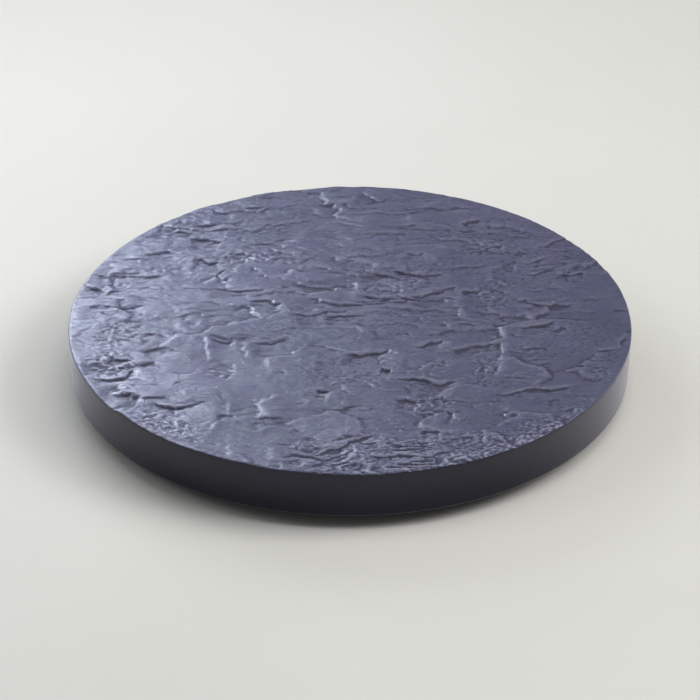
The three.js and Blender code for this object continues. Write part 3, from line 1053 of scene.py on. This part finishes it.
def build_top(axis, depth):
    """The riven face: a fine even grid, thinned where the slate is flat."""
    n = CELLS
    x, y = disc_grid(n, DECK_R - TOP_EDGE)
    z = DECK_H + sample(axis, depth, x, y)
    verts = np.stack([x.ravel(), y.ravel(), z.ravel()], 1)
    index = np.arange((n + 1) ** 2).reshape(n + 1, n + 1)
    faces = np.stack(
        [index[:-1, :-1], index[:-1, 1:], index[1:, 1:], index[1:, :-1]], -1
    ).reshape(-1, 4)
    top = obj_from("top", verts, [tuple(f) for f in faces])
    thin = top.modifiers.new("thin", "DECIMATE")
    thin.ratio = TOP_TRIS / (2 * n * n)
    settle(top)
    me = top.data
    v = np.zeros(len(me.vertices) * 3)
    me.vertices.foreach_get("co", v)
    v = v.reshape(-1, 3) / MM
    ends = np.zeros(len(me.edges) * 2, np.int64)
    me.edges.foreach_get("vertices", ends)
    ends = ends.reshape(-1, 2)
    used = np.zeros(len(me.edges), int)
    side = np.zeros(len(me.loops), np.int64)
    me.loops.foreach_get("edge_index", side)
    np.add.at(used, side, 1)
    border = np.unique(ends[used == 1])
    loop = border[np.argsort(np.arctan2(v[border, 1], v[border, 0]))]
    f = [tuple(p.vertices) for p in me.polygons]
    drop(top)
    return v, f, loop


def build_shell(axis, depth):
    top_r = DECK_R - TOP_EDGE
    verts, faces, loop = build_top(axis, depth)
    m = len(loop)
    theta = np.arctan2(verts[loop, 1], verts[loop, 0])
    z_rim = verts[loop, 2]
    draft_top = DECK_H - 1.6

    def wall(zz):
        return FOOT_R + (DECK_R - FOOT_R) * np.clip(
            (zz - SKIRT_Z - 1.2) / (draft_top - SKIRT_Z - 1.2), 0, 1
        )

    rings = []
    for k in (1, 2, 3, 4):
        a = math.pi / 2 * k / 4
        rings.append(
            (top_r + TOP_EDGE * math.sin(a) - 0.02, z_rim - TOP_EDGE * (1 - math.cos(a)))
        )
    e = 1.2
    rings.append((wall(31.8), 31.8 + 0 * z_rim))
    rings.append((wall(20.0), 20.0 + 0 * z_rim))
    for k in range(6):
        a = math.pi / 2 * k / 5
        rings.append((FOOT_R - e * (1 - math.cos(a)), SKIRT_Z + e * (1 - math.sin(a)) + 0 * z_rim))
    inner_low = FOOT_R - SKIRT_T
    for k in range(4):
        a = math.pi / 2 * k / 3
        rings.append((inner_low + 0.5 * (1 - math.sin(a)), SKIRT_Z + 0.5 * (1 - math.cos(a)) + 0 * z_rim))
    inner_top = DECK_R - SKIRT_T
    for k in range(5):
        a = math.pi / 2 * k / 4
        rings.append((inner_top - 1.0 * (1 - math.cos(a)), UNDER - 1.0 + 1.0 * math.sin(a) + 0 * z_rim))
    all_verts, all_faces = [verts], []
    before = loop
    base = len(verts)
    c, s = np.cos(theta), np.sin(theta)
    for r, zz in rings:
        ring = np.stack([r * c, r * s, zz], 1)
        ids = base + np.arange(m)
        all_verts.append(ring)
        nxt, prev = np.roll(ids, -1), np.roll(before, -1)
        all_faces.append(np.stack([before, ids, nxt, prev], 1))
        before, base = ids, base + m
    out = list(faces) + [tuple(f) for f in np.concatenate(all_faces)]
    # the flat underside as a fan of rings towards the middle
    all_verts.append(np.array([[0.0, 0.0, UNDER]]))
    centre = base
    nxt = np.roll(before, -1)
    out += [(int(a), int(centre), int(b)) for a, b in zip(before, nxt)]
    ob = obj_from("deck", np.concatenate(all_verts), out)
    return fix_normals(ob)


def build_deck(axis, depth):
    top = UNDER + 0.5
    deck = build_shell(axis, depth)

    def ring_rib(r):
        return spin(
            "ring",
            [
                (r - RIB_T / 2 + 0.2, RIB_Z, 0.3, 3),
                (r + RIB_T / 2 - 0.2, RIB_Z, 0.3, 3),
                (r + RIB_T / 2, top - 1),
                (r + RIB_T / 2, top),
                (r - RIB_T / 2, top),
                (r - RIB_T / 2, top - 1),
            ],
            96 if r > 20 else 64,
            closed=True,
        )

    ribs = merge("rings", [ring_rib(r) for r in RING_RADII])
    section = soften(
        [
            (-RIB_T / 2 + 0.2, RIB_Z, 0.3, 3),
            (RIB_T / 2 - 0.2, RIB_Z, 0.3, 3),
            (RIB_T / 2, top - 1),
            (RIB_T / 2, top),
            (-RIB_T / 2, top),
            (-RIB_T / 2, top - 1),
        ],
        True,
    )
    reach = DECK_R - SKIRT_T + 0.2
    for k in range(6):
        bar = prism("bar", section, -reach, reach)
        turn(bar, Matrix(((0, 0, 1, 0), (1, 0, 0, 0), (0, 1, 0, 0), (0, 0, 0, 1))))
        turn(bar, Matrix.Rotation((k + 0.5) * math.pi / 6, 4, "Z"))
        ribs = join(ribs, fix_normals(bar))
    ribs = cut(
        ribs,
        spin(
            "eye",
            [(0, RIB_Z - 1), (RING_RADII[0], RIB_Z - 1), (RING_RADII[0], UNDER), (0, UNDER)],
            64,
        ),
    )
    places = [(CASTOR[w].x / MM, CASTOR[w].y / MM) for w in WHERE]
    wells, clear, bosses, webs, pilots = [], [], [], [], []
    for x, y in places:
        wells.append(
            moved(
                spin(
                    "well",
                    [
                        (0, WELL_Z),
                        (WELL_R + WELL_T - 0.15, WELL_Z, 0.4, 3),
                        (WELL_R + WELL_T, top),
                        (0, top),
                    ],
                    96,
                ),
                x,
                y,
            )
        )
        clear.append(
            moved(
                spin(
                    "clear",
                    [
                        (0, WELL_Z - 1),
                        (WELL_R + 0.45, WELL_Z - 1),
                        (WELL_R + 0.1, WELL_Z + 0.4, 0.5, 3),
                        (WELL_R, UNDER - 0.5, 0.5, 3),
                        (WELL_R - 0.5, UNDER),
                        (0, UNDER),
                    ],
                    96,
                ),
                x,
                y,
            )
        )
        for ax in (-1, 1):
            for ay in (-1, 1):
                bx, by = x + ax * HOLE_AT, y + ay * HOLE_AT
                seat = PLATE_Z + PLATE_T
                bosses.append(
                    moved(
                        spin(
                            "boss",
                            [(0, seat), (3.85, seat, 0.25, 3), (4.0, top), (0, top)],
                            32,
                        ),
                        bx,
                        by,
                    )
                )
                web = prism(
                    "web",
                    [
                        (HOLE_AT * math.sqrt(2) + 2.5, -RIB_T / 2),
                        (WELL_R + 0.8, -RIB_T / 2),
                        (WELL_R + 0.8, RIB_T / 2),
                        (HOLE_AT * math.sqrt(2) + 2.5, RIB_T / 2),
                    ],
                    seat + 0.02,
                    top,
                )
                turn(web, Matrix.Rotation(math.atan2(ay, ax), 4, "Z"))
                webs.append(moved(web, x, y))
                pilots.append(
                    moved(
                        spin(
                            "pilot",
                            [
                                (0, seat - 1.5),
                                (1.95, seat - 1.5),
                                (1.95, seat + 0.1),
                                (1.55, seat + 0.5),
                                (1.55, UNDER + 0.5),
                                (0, UNDER + 0.8),
                            ],
                            24,
                        ),
                        bx,
                        by,
                    )
                )
    ribs = join(ribs, merge("wells", wells))
    ribs = cut(ribs, merge("clear", clear))
    ribs = join(ribs, merge("bosses", bosses))
    ribs = join(ribs, merge("webs", webs))
    # ejector pin marks, and the stub of the moulding gate in the middle
    marks = []
    for r, count, shift in ((29.5, 6, 0.0), (62.0, 12, 0.5), (112.0, 12, 0.5)):
        for k in range(count):
            a = (k + shift * 0 ) * 2 * math.pi / count
            if r > 100 and min(
                math.hypot(r * math.cos(a) - x, r * math.sin(a) - y) for x, y in places
            ) < WELL_R + 8:
                continue
            marks.append(
                moved(
                    spin(
                        "mark",
                        [(0, UNDER - 1), (3.2, UNDER - 1), (3.2, UNDER + 0.22), (0, UNDER + 0.22)],
                        24,
                    ),
                    r * math.cos(a),
                    r * math.sin(a),
                )
            )
    deck = cut(deck, merge("marks", marks))
    deck = join(deck, ribs)
    deck = join(
        deck,
        spin(
            "gate",
            [(0, UNDER - 1.6), (1.5, UNDER - 1.6, 0.3, 3), (2.3, UNDER - 0.2), (2.3, UNDER + 0.5), (0, UNDER + 0.5)],
            24,
        ),
    )
    deck = cut(deck, merge("pilots", pilots))
    return deck


def dress_deck(deck, axis, depth, maps):
    """Material per face, smooth relief, and the relief's maps as attributes."""
    me = deck.data
    n = len(me.vertices)
    co = np.zeros(n * 3)
    me.vertices.foreach_get("co", co)
    co = co.reshape(-1, 3) / MM
    r = np.hypot(co[:, 0], co[:, 1])
    on_top = (co[:, 2] > DECK_H - 2.75) & (r < DECK_R - TOP_EDGE + 0.05)
    for name, grid in maps.items():
        attribute = me.attributes.new(name, "FLOAT", "POINT")
        value = sample(axis, grid, co[:, 0], co[:, 1])
        attribute.data.foreach_set("value", value.astype(np.float32))
    edges = np.zeros(len(me.edges) * 2, np.int64)
    me.edges.foreach_get("vertices", edges)
    edges = edges.reshape(-1, 2)
    shade(deck, 34)
    sharp = np.zeros(len(me.edges), bool)
    me.attributes["sharp_edge"].data.foreach_get("value", sharp)
    sharp[on_top[edges].any(1)] = False
    me.attributes["sharp_edge"].data.foreach_set("value", sharp)
    centre = np.zeros(len(me.polygons) * 3)
    me.polygons.foreach_get("center", centre)
    centre = centre.reshape(-1, 3) / MM
    normal = np.zeros(len(me.polygons) * 3)
    me.polygons.foreach_get("normal", normal)
    normal = normal.reshape(-1, 3)
    rc = np.hypot(centre[:, 0], centre[:, 1])
    out = (normal[:, 0] * centre[:, 0] + normal[:, 1] * centre[:, 1]) / np.maximum(rc, 1e-6)
    slate_face = (centre[:, 2] > DECK_H - 2.75) & (normal[:, 2] > 0.25)
    skirt_face = ~slate_face & (out > 0.1) & (rc > FOOT_R - 1.6)
    kind = np.where(slate_face, 0, np.where(skirt_face, 1, 2))
    me.polygons.foreach_set("material_index", kind.astype(np.int32))
    me.update()
    # true round normals on the outside wall, where the faces are long and thin
    corner = np.zeros(len(me.loops) * 3, np.float32)
    me.corner_normals.foreach_get("vector", corner)
    corner = corner.reshape(-1, 3)
    vertex = np.zeros(len(me.loops), np.int64)
    me.loops.foreach_get("vertex_index", vertex)
    rv, zv = np.maximum(r[vertex], 1.0), co[vertex, 2]
    flat_part = (rv > FOOT_R - 0.02) & (zv > SKIRT_Z + 1.1) & (zv < UNDER + 0.4)
    outward = np.stack(
        [co[vertex, 0] / rv, co[vertex, 1] / rv, np.full(len(rv), -0.045)], 1
    )
    outward /= np.linalg.norm(outward, axis=1)[:, None]
    corner[flat_part] = outward[flat_part]
    me.normals_split_custom_set(corner.tolist())
    return deck


# ------------------------------------------------------------------ materials
BACKDROP = (0.60, 0.60, 0.585)


class Nodes:
    """A short way to write node materials. Positions are in mm in the object's own frame."""

    def __init__(self, name):
        self.mat = bpy.data.materials.new(name)
        self.mat.use_nodes = True
        self.tree = self.mat.node_tree
        self.tree.nodes.clear()
        self.out = self.new("ShaderNodeOutputMaterial")
        self.bsdf = self.new("ShaderNodeBsdfPrincipled")
        self.link(self.bsdf.outputs[0], self.out.inputs["Surface"])
        self.coord = self.new("ShaderNodeTexCoord").outputs["Object"]

    def new(self, kind):
        return self.tree.nodes.new(kind)

    def link(self, a, b):
        self.tree.links.new(a, b)

    def put(self, socket, value):
        if hasattr(value, "is_output"):
            self.link(value, socket)
        elif isinstance(value, (tuple, list)) and len(value) == 3 and socket.type == "RGBA":
            socket.default_value = (*value, 1)
        else:
            socket.default_value = value

    def place(self, scale=(1, 1, 1), turn=(0, 0, 0), shift=(0, 0, 0)):
        m = self.new("ShaderNodeMapping")
        m.inputs["Scale"].default_value = [1000 * s for s in scale]
        m.inputs["Rotation"].default_value = turn
        m.inputs["Location"].default_value = shift
        self.link(self.coord, m.inputs["Vector"])
        return m.outputs[0]

    def noise(self, size, detail=4, rough=0.5, stretch=(1, 1, 1), warp=0.0, shift=(0, 0, 0)):
        """Noise with features about size mm across."""
        n = self.new("ShaderNodeTexNoise")
        n.inputs["Scale"].default_value = 1.0
        n.inputs["Detail"].default_value = detail
        n.inputs["Roughness"].default_value = rough
        n.inputs["Distortion"].default_value = warp
        v = self.place([1 / (size * s) for s in stretch], shift=shift)
        self.link(v, n.inputs["Vector"])
        return n.outputs["Fac"]

    def math(self, op, a, b=0.0, c=None, clamp=False):
        m = self.new("ShaderNodeMath")
        m.operation = op
        m.use_clamp = clamp
        self.put(m.inputs[0], a)
        self.put(m.inputs[1], b)
        if c is not None:
            self.put(m.inputs[2], c)
        return m.outputs[0]

    def remap(self, v, a, b, c=0.0, d=1.0, smooth_=True):
        m = self.new("ShaderNodeMapRange")
        m.interpolation_type = "SMOOTHSTEP" if smooth_ else "LINEAR"
        self.put(m.inputs["Value"], v)
        for key, val in (("From Min", a), ("From Max", b), ("To Min", c), ("To Max", d)):
            m.inputs[key].default_value = val
        return m.outputs["Result"]

    def mix(self, fac, a, b, kind="MIX"):
        m = self.new("ShaderNodeMix")
        m.data_type = "RGBA"
        m.blend_type = kind
        self.put(m.inputs[0], fac)
        self.put(m.inputs[6], a)
        self.put(m.inputs[7], b)
        return m.outputs[2]

    def attribute(self, name):
        a = self.new("ShaderNodeAttribute")
        a.attribute_name = name
        return a.outputs["Fac"]

    def bump(self, height, strength, distance_mm, normal=None):
        b = self.new("ShaderNodeBump")
        b.inputs["Strength"].default_value = strength
        b.inputs["Distance"].default_value = distance_mm * MM
        self.put(b.inputs["Height"], height)
        if normal is not None:
            self.link(normal, b.inputs["Normal"])
        return b.outputs[0]

    def xyz(self):
        s = self.new("ShaderNodeSeparateXYZ")
        self.link(self.coord, s.inputs[0])
        return s.outputs

    def finish(self, **values):
        names = {
            "color": "Base Color",
            "rough": "Roughness",
            "metal": "Metallic",
            "normal": "Normal",
            "spec": "Specular IOR Level",
            "ior": "IOR",
            "sss": "Subsurface Weight",
            "coat": "Coat Weight",
            "tint": "Specular Tint",
            "sheen": "Sheen Weight",
            "sheen_rough": "Sheen Roughness",
            "sheen_tint": "Sheen Tint",
        }
        for k, v in values.items():
            self.put(self.bsdf.inputs[names[k]], v)
        return self.mat


def slate_material():
    n = Nodes("slate_effect")
    hollow = n.attribute("hollow")  # small-scale height: under 0 in cracks, over 0 on lips
    ground = n.attribute("ground")  # broad height
    grain = n.noise(1.1, 5, 0.62, (1.5, 0.8, 1), 0.4)
    fine = n.noise(0.42, 3, 0.6, (1.3, 0.9, 1))
    clouds = n.noise(34, 3, 0.55, (1.4, 0.9, 1), 0.6)
    blotch = n.noise(9, 4, 0.6, (1.6, 0.8, 1), 0.5)
    base = n.mix(n.remap(clouds, 0.35, 0.68), (0.051, 0.054, 0.099), (0.071, 0.070, 0.126))
    base = n.mix(n.remap(blotch, 0.42, 0.72), base, (0.063, 0.070, 0.107))
    # painted shade: darker where the broad ground lies low
    base = n.mix(n.remap(ground, -0.9, 0.5, 0.35, 0.0), base, (0.042, 0.044, 0.076))
    speck = n.math("MULTIPLY", n.remap(grain, 0.30, 0.72, 0.80, 1.22), n.remap(fine, 0.3, 0.7, 0.93, 1.07))
    tone = n.new("ShaderNodeCombineColor")
    for s in tone.inputs:
        n.link(speck, s)
    base = n.mix(1.0, base, tone.outputs[0], "MULTIPLY")
    # painted highlight: raised lips are paler, more so near the chipped rim, in the layered stretches and in the flaky
    # patches on the left
    lip = n.math("MULTIPLY", n.remap(hollow, 0.06, 0.42), n.remap(grain, 0.35, 0.6, 0.45, 1.0))
    highlight_reach = n.math("ADD", n.math("MULTIPLY", n.attribute("highlight_reach"), 0.75), 0.22)
    base = n.mix(n.math("MULTIPLY", lip, highlight_reach, clamp=True), base, (0.26, 0.265, 0.36))
    # painted shade: the cracks are dark, less so towards the left-hand side
    crack = n.remap(hollow, -0.07, -0.45)
    crack_shade_side = n.remap(n.xyz()[0], -0.09, -0.01, 0.62, 0.90)
    base = n.mix(n.math("MULTIPLY", crack, crack_shade_side), base, (0.019, 0.017, 0.036))
    rough = n.remap(blotch, 0.3, 0.7, 0.34, 0.43)
    rough = n.math("ADD", rough, n.math("MULTIPLY", crack, 0.25))
    rough = n.math("ADD", rough, n.math("MULTIPLY", n.math("SUBTRACT", grain, 0.5), 0.22))
    h = n.math("ADD", n.math("MULTIPLY", grain, 1.0), n.math("MULTIPLY", fine, 0.35))
    h2 = n.noise(2.6, 5, 0.6, (1.7, 0.7, 1), 0.8, (3, 7, 0))
    # shallow dimples that come and go between the ledges
    dimple = n.noise(6.5, 4, 0.55, (1.5, 0.8, 1), 1.1, (2, 9, 0))
    where = n.noise(30, 2, 0.5, (1.2, 0.9, 1), 0.5, (7, 1, 0))
    dimple = n.math("MULTIPLY", dimple, n.remap(where, 0.42, 0.60, 0.15, 1.0))
    normal = n.bump(dimple, 0.8, 0.9)
    normal = n.bump(h2, 0.7, 0.55, normal)
    normal = n.bump(h, 0.55, 0.20, normal)
    return n.finish(
        color=base, rough=rough, spec=0.5, tint=(0.78, 0.82, 1.0), normal=normal
    )


def skirt_material():
    n = Nodes("skirt_satin")
    x, y, z = n.xyz()
    clouds = n.noise(45, 3, 0.5, (1, 1, 0.6), 0.4)
    mottle = n.noise(5, 4, 0.55, (1, 1, 1.0), 0.2)
    grain = n.noise(0.55, 3, 0.6)
    base = n.mix(n.remap(clouds, 0.3, 0.7), (0.0060, 0.0052, 0.0095), (0.0100, 0.0088, 0.0150))
    base = n.mix(n.remap(mottle, 0.5, 0.75, 0, 0.4), base, (0.014, 0.013, 0.019))
    # faint scuffs just over the lower rim, drawn out along the skirt
    scuff = n.noise(2.2, 4, 0.65, (4.5, 4.5, 0.35), 0.3, (5, 1, 2))
    low = n.remap(z, 0.0085, 0.0145, 1.0, 0.0)
    scuffs = n.math("MULTIPLY", n.remap(scuff, 0.60, 0.72), low)
    base = n.mix(n.math("MULTIPLY", scuffs, 0.35), base, (0.075, 0.075, 0.085))
    # painted sheen: the colour turns paler where the skirt is seen at a glancing angle
    facing = n.new("ShaderNodeLayerWeight")
    facing.inputs["Blend"].default_value = 0.5
    glancing_sheen = n.math("POWER", n.remap(facing.outputs["Facing"], 0.30, 1.0, smooth_=False), 2.0)
    base = n.mix(n.math("MULTIPLY", glancing_sheen, 0.9), base, (0.20, 0.195, 0.26))
    rough = n.remap(mottle, 0.3, 0.7, 0.18, 0.25)
    rough = n.math("ADD", rough, n.math("MULTIPLY", scuffs, 0.22))
    rough = n.math("ADD", rough, n.math("MULTIPLY", n.math("SUBTRACT", grain, 0.5), 0.10))
    normal = n.bump(n.noise(7, 2, 0.5), 0.12, 0.25)
    normal = n.bump(grain, 0.16, 0.05, normal)
    return n.finish(
        color=base,
        rough=rough,
        # painted shade: the reflection weakens towards the lower rim, for the shaded floor near the foot
        spec=n.remap(z, 0.009, 0.031, 0.22, 0.52),
        tint=(0.80, 0.78, 1.0),
        sheen=0.17,
        sheen_rough=0.35,
        sheen_tint=(0.86, 0.84, 1.0),
        normal=normal,
    )


def underside_material():
    n = Nodes("moulded_underside")
    flow = n.noise(26, 4, 0.6, (1, 1, 1), 1.2)
    grain = n.noise(0.7, 3, 0.6)
    mottle = n.noise(6, 4, 0.6)
    base = n.mix(n.remap(flow, 0.35, 0.65), (0.020, 0.019, 0.026), (0.031, 0.030, 0.039))
    base = n.mix(n.remap(mottle, 0.5, 0.8, 0, 0.5), base, (0.040, 0.039, 0.048))
    rough = n.remap(flow, 0.3, 0.7, 0.40, 0.52)
    normal = n.bump(mottle, 0.10, 0.2)
    normal = n.bump(grain, 0.25, 0.06, normal)
    return n.finish(color=base, rough=rough, spec=0.45, normal=normal)


def zinc_material():
    n = Nodes("zinc_plate")
    cloud = n.noise(5, 4, 0.6, (1, 1, 1), 0.6)
    roll = n.noise(0.5, 3, 0.6, (9, 0.6, 0.6))
    speck = n.noise(0.35, 2, 0.5)
    base = n.mix(n.remap(cloud, 0.35, 0.65), (0.58, 0.60, 0.61), (0.66, 0.655, 0.63))
    base = n.mix(n.remap(speck, 0.62, 0.74, 0, 0.35), base, (0.42, 0.42, 0.43))
    rough = n.math("ADD", n.remap(cloud, 0.3, 0.7, 0.26, 0.38), n.math("MULTIPLY", n.math("SUBTRACT", roll, 0.5), 0.16))
    normal = n.bump(roll, 0.18, 0.03)
    normal = n.bump(cloud, 0.15, 0.12, normal)
    return n.finish(color=base, rough=rough, metal=0.95, normal=normal)


def steel_material():
    n = Nodes("bright_steel")
    cloud = n.noise(2.4, 4, 0.6, (1, 1, 1), 0.4)
    lines = n.noise(0.25, 3, 0.6, (1, 1, 1))
    base = n.mix(n.remap(cloud, 0.35, 0.65), (0.50, 0.505, 0.515), (0.62, 0.615, 0.60))
    rough = n.math("ADD", n.remap(cloud, 0.3, 0.7, 0.20, 0.32), n.math("MULTIPLY", n.math("SUBTRACT", lines, 0.5), 0.15))
    normal = n.bump(lines, 0.15, 0.02)
    return n.finish(color=base, rough=rough, metal=1.0, normal=normal)


def nylon_material():
    n = Nodes("wheel_nylon")
    cloud = n.noise(6, 3, 0.5, (1, 1, 1), 0.4)
    grain = n.noise(0.6, 3, 0.6)
    base = n.mix(n.remap(cloud, 0.3, 0.7), (0.56, 0.55, 0.505), (0.63, 0.62, 0.575))
    base = n.mix(n.remap(grain, 0.6, 0.8, 0, 0.25), base, (0.48, 0.465, 0.43))
    rough = n.remap(cloud, 0.3, 0.7, 0.38, 0.48)
    return n.finish(color=base, rough=rough, sss=0.06, normal=n.bump(grain, 0.18, 0.05))


def rubber_material():
    n = Nodes("tread_rubber")
    cloud = n.noise(5, 4, 0.6, (1, 1, 1), 0.4)
    grain = n.noise(0.45, 4, 0.65)
    dust = n.noise(1.6, 5, 0.65, (1, 1, 1), 0.6, (4, 2, 1))
    base = n.mix(n.remap(cloud, 0.3, 0.7), (0.024, 0.024, 0.026), (0.038, 0.038, 0.040))
    base = n.mix(n.remap(dust, 0.52, 0.75, 0, 0.35), base, (0.12, 0.115, 0.105))
    rough = n.remap(dust, 0.3, 0.7, 0.70, 0.88)
    normal = n.bump(grain, 0.4, 0.08)
    return n.finish(color=base, rough=rough, spec=0.4, normal=normal)


def floor_material():
    n = Nodes("pale_floor")
    cloud = n.noise(260, 3, 0.5, (1, 1, 1), 0.3)
    grain = n.noise(3.0, 3, 0.6)
    base = n.mix(n.remap(cloud, 0.3, 0.7), (0.590, 0.588, 0.560), (0.612, 0.610, 0.582))
    rough = n.remap(grain, 0.3, 0.7, 0.5, 0.6)
    mat = n.finish(color=base, rough=rough, spec=0.25)
    # far from the object the floor runs over into the backdrop
    far = n.new("ShaderNodeVectorMath")
    far.operation = "LENGTH"
    n.link(n.coord, far.inputs[0])
    seen = n.new("ShaderNodeLightPath").outputs["Is Camera Ray"]
    glow = n.new("ShaderNodeEmission")
    glow.inputs["Color"].default_value = (*BACKDROP, 1)
    blend = n.new("ShaderNodeMixShader")
    n.link(n.math("MULTIPLY", n.remap(far.outputs["Value"], 0.45, 2.2), seen), blend.inputs[0])
    n.link(n.bsdf.outputs[0], blend.inputs[1])
    n.link(glow.outputs[0], blend.inputs[2])
    n.link(blend.outputs[0], n.out.inputs["Surface"])
    return mat


# ------------------------------------------------------------------ the deck
axis, raw, highlight_reach = slate()
GX, GY = np.meshgrid(axis, axis)
GR = np.hypot(GX, GY)
raw = raw - np.percentile(raw[GR < DECK_R], 99.0)
near_rim = smooth(138.0, DECK_R - 1.0, GR)
raw = raw * (1 - 0.25 * near_rim) - 0.10 * near_rim
raw = -0.10 * np.logaddexp(0, -raw / 0.10)  # no point rises over the top plane
depth = blur(np.maximum(raw, -2.3), 0.18)
depth = np.clip(depth, -2.4, -0.001)
maps = {
    "hollow": np.clip((depth - blur(depth, 1.7)) * 2.2, -1.5, 1.5),
    "highlight_reach": blur(highlight_reach, 1.5),
    "ground": np.clip(blur(depth, 6.0) - blur(depth, 6.0).mean(), -1.5, 1.5),
}
deck = tidy(build_deck(axis, depth), exact=True)
deck.name = "deck_moulding"
deck.data.materials.clear()
for m in (slate_material(), skirt_material(), underside_material()):
    deck.data.materials.append(m)
dress_deck(deck, axis, depth, maps)
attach(deck, "caddy")
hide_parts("deck")

# ------------------------------------------------------------------ the castors
ZINC, STEEL, NYLON, RUBBER = zinc_material(), steel_material(), nylon_material(), rubber_material()
PIECES = {
    "plate": (build_plate, ZINC, "zinc_sheet", "caddy", 30),
    "kingpin": (build_kingpin, STEEL, "bright_steel", "caddy", 36),
    "ball_ring": (build_ball_ring, STEEL, "bright_steel", "race", 36),
    "fork": (build_fork, ZINC, "zinc_sheet", "swivel", 38),
    "axle": (build_axle, STEEL, "bright_steel", "swivel", 36),
    "wheel": (build_wheel, NYLON, "wheel_nylon", "roller", 36),
    "tread": (build_tread, RUBBER, "tread_rubber", "roller", 36),
    "screw": (build_screw, STEEL, "bright_steel", "caddy", 36),
}
for part, (build, material, slot, body, angle) in PIECES.items():
    source = tidy(build())
    if part != "screw":
        turn(source, RZ)
    source.data.materials.clear()
    source.data.materials.append(material)
    source.data.polygons.foreach_set(
        "material_index", np.zeros(len(source.data.polygons), np.int32)
    )
    shade(source, angle)
    mesh = source.data
    for w in WHERE:
        c = CASTOR[w]
        spots = [("", 0, 0)]
        if part == "screw":
            spots = [("_a", -1, -1), ("_b", 1, -1), ("_c", 1, 1), ("_d", -1, 1)]
        for tail, ax, ay in spots:
            node = f"{w}_{part}{tail}"
            piece = bpy.data.objects.new(node + ".look", mesh.copy())
            bpy.context.scene.collection.objects.link(piece)
            at = Matrix.Translation((c.x + ax * HOLE_AT * MM, c.y + ay * HOLE_AT * MM, 0))
            if part == "screw":
                at = at @ Matrix.Rotation(0.9 * (WHERE.index(w) * 4 + ax + 2 * ay), 4, "Z")
            piece.matrix_world = at
            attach(piece, "caddy" if body == "caddy" else f"{w}_{body}")
            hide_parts(node)
    drop(source)

# ------------------------------------------------------------------ floor, light, camera
floor = obj_from(
    "floor",
    [(-9000, -9000, 0), (9000, -9000, 0), (9000, 9000, 0), (-9000, 9000, 0)],
    [(0, 1, 2, 3)],
)
floor.data.materials.append(floor_material())

centre = Vector((0, 0, DECK_H / 2 * MM))


def lamp(name, size, power, color, azimuth, elevation, distance, aim=centre, spread=180):
    data = bpy.data.lights.new(name, "AREA")
    data.shape = "RECTANGLE"
    data.size, data.size_y = size
    data.energy = power
    data.color = color
    data.spread = math.radians(spread)
    ob = bpy.data.objects.new(name, data)
    bpy.context.scene.collection.objects.link(ob)
    a, e = math.radians(azimuth), math.radians(elevation)
    away = Vector((math.cos(a) * math.cos(e), math.sin(a) * math.cos(e), math.sin(e)))
    ob.location = aim + away * distance
    ob.rotation_mode = "QUATERNION"
    ob.rotation_quaternion = away.to_track_quat("Z", "Y")
    ob.visible_camera = False
    return ob


left_side = Vector((-0.15, 0.0, 0.035))
lamp("window", (0.6, 0.4), 1.1, (0.90, 0.94, 1.0), 126, 27, 0.8, spread=100)
glow = lamp("glow", (0.26, 0.18), 0.46, (0.80, 0.87, 1.0), 108, 30.5, 0.6, left_side, 60)
lamp("right", (1.4, 1.1), 42, (1.0, 0.98, 0.96), -5, 40, 2.5)
lamp("left", (1.2, 1.0), 8, (0.97, 0.98, 1.0), 185, 38, 2.5)
lamp("overhead", (2.2, 2.2), 43, (1.0, 0.99, 0.96), 0, 76, 3.3)
lamp("under_the_floor", (1.6, 1.6), 38, (1.0, 1.0, 1.0), -50, -55, 1.6)
# the glow is for the deck alone
unlit = bpy.data.collections.new("unlit_by_glow")
unlit.objects.link(floor)
glow.light_linking.receiver_collection = unlit
unlit.collection_objects[0].light_linking.link_state = "EXCLUDE"

# even light from all round, and a pale backdrop behind the floor
world = bpy.data.worlds.new("studio")
world.use_nodes = True
tree = world.node_tree
light = tree.nodes["Background"]
light.inputs[0].default_value = (0.97, 0.98, 1.0, 1)
light.inputs[1].default_value = 0.26
backdrop = tree.nodes.new("ShaderNodeBackground")
backdrop.inputs[0].default_value = (*BACKDROP, 1)
seen = tree.nodes.new("ShaderNodeLightPath")
pick = tree.nodes.new("ShaderNodeMixShader")
tree.links.new(seen.outputs["Is Camera Ray"], pick.inputs[0])
tree.links.new(light.outputs[0], pick.inputs[1])
tree.links.new(backdrop.outputs[0], pick.inputs[2])
tree.links.new(pick.outputs[0], tree.nodes["World Output"].inputs["Surface"])
bpy.context.scene.world = world

camera = bpy.data.objects.new("camera", bpy.data.cameras.new("camera"))
bpy.context.scene.collection.objects.link(camera)
ELEVATION, DISTANCE = math.radians(31.0), 2.6
back = Vector((0, -math.cos(ELEVATION), math.sin(ELEVATION)))
camera.location = centre + back * DISTANCE
camera.rotation_mode = "QUATERNION"
camera.rotation_quaternion = (-back).to_track_quat("-Z", "Y")
camera.data.sensor_width = 36
camera.data.lens = 250
camera.data.clip_start, camera.data.clip_end = 0.05, 60
bpy.context.scene.camera = camera
bpy.context.scene.view_settings.view_transform = "Standard"

# seen from under the floor, the floor gets out of the way
curve = floor.driver_add("hide_render")
curve.driver.type = "SUM"
variable = curve.driver.variables.new()
variable.type = "TRANSFORMS"
variable.targets[0].id = camera
variable.targets[0].transform_type = "LOC_Z"
variable.targets[0].transform_space = "WORLD_SPACE"
line = curve.modifiers[0] if len(curve.modifiers) else curve.modifiers.new("GENERATOR")
line.coefficients = (0.0, -100.0)
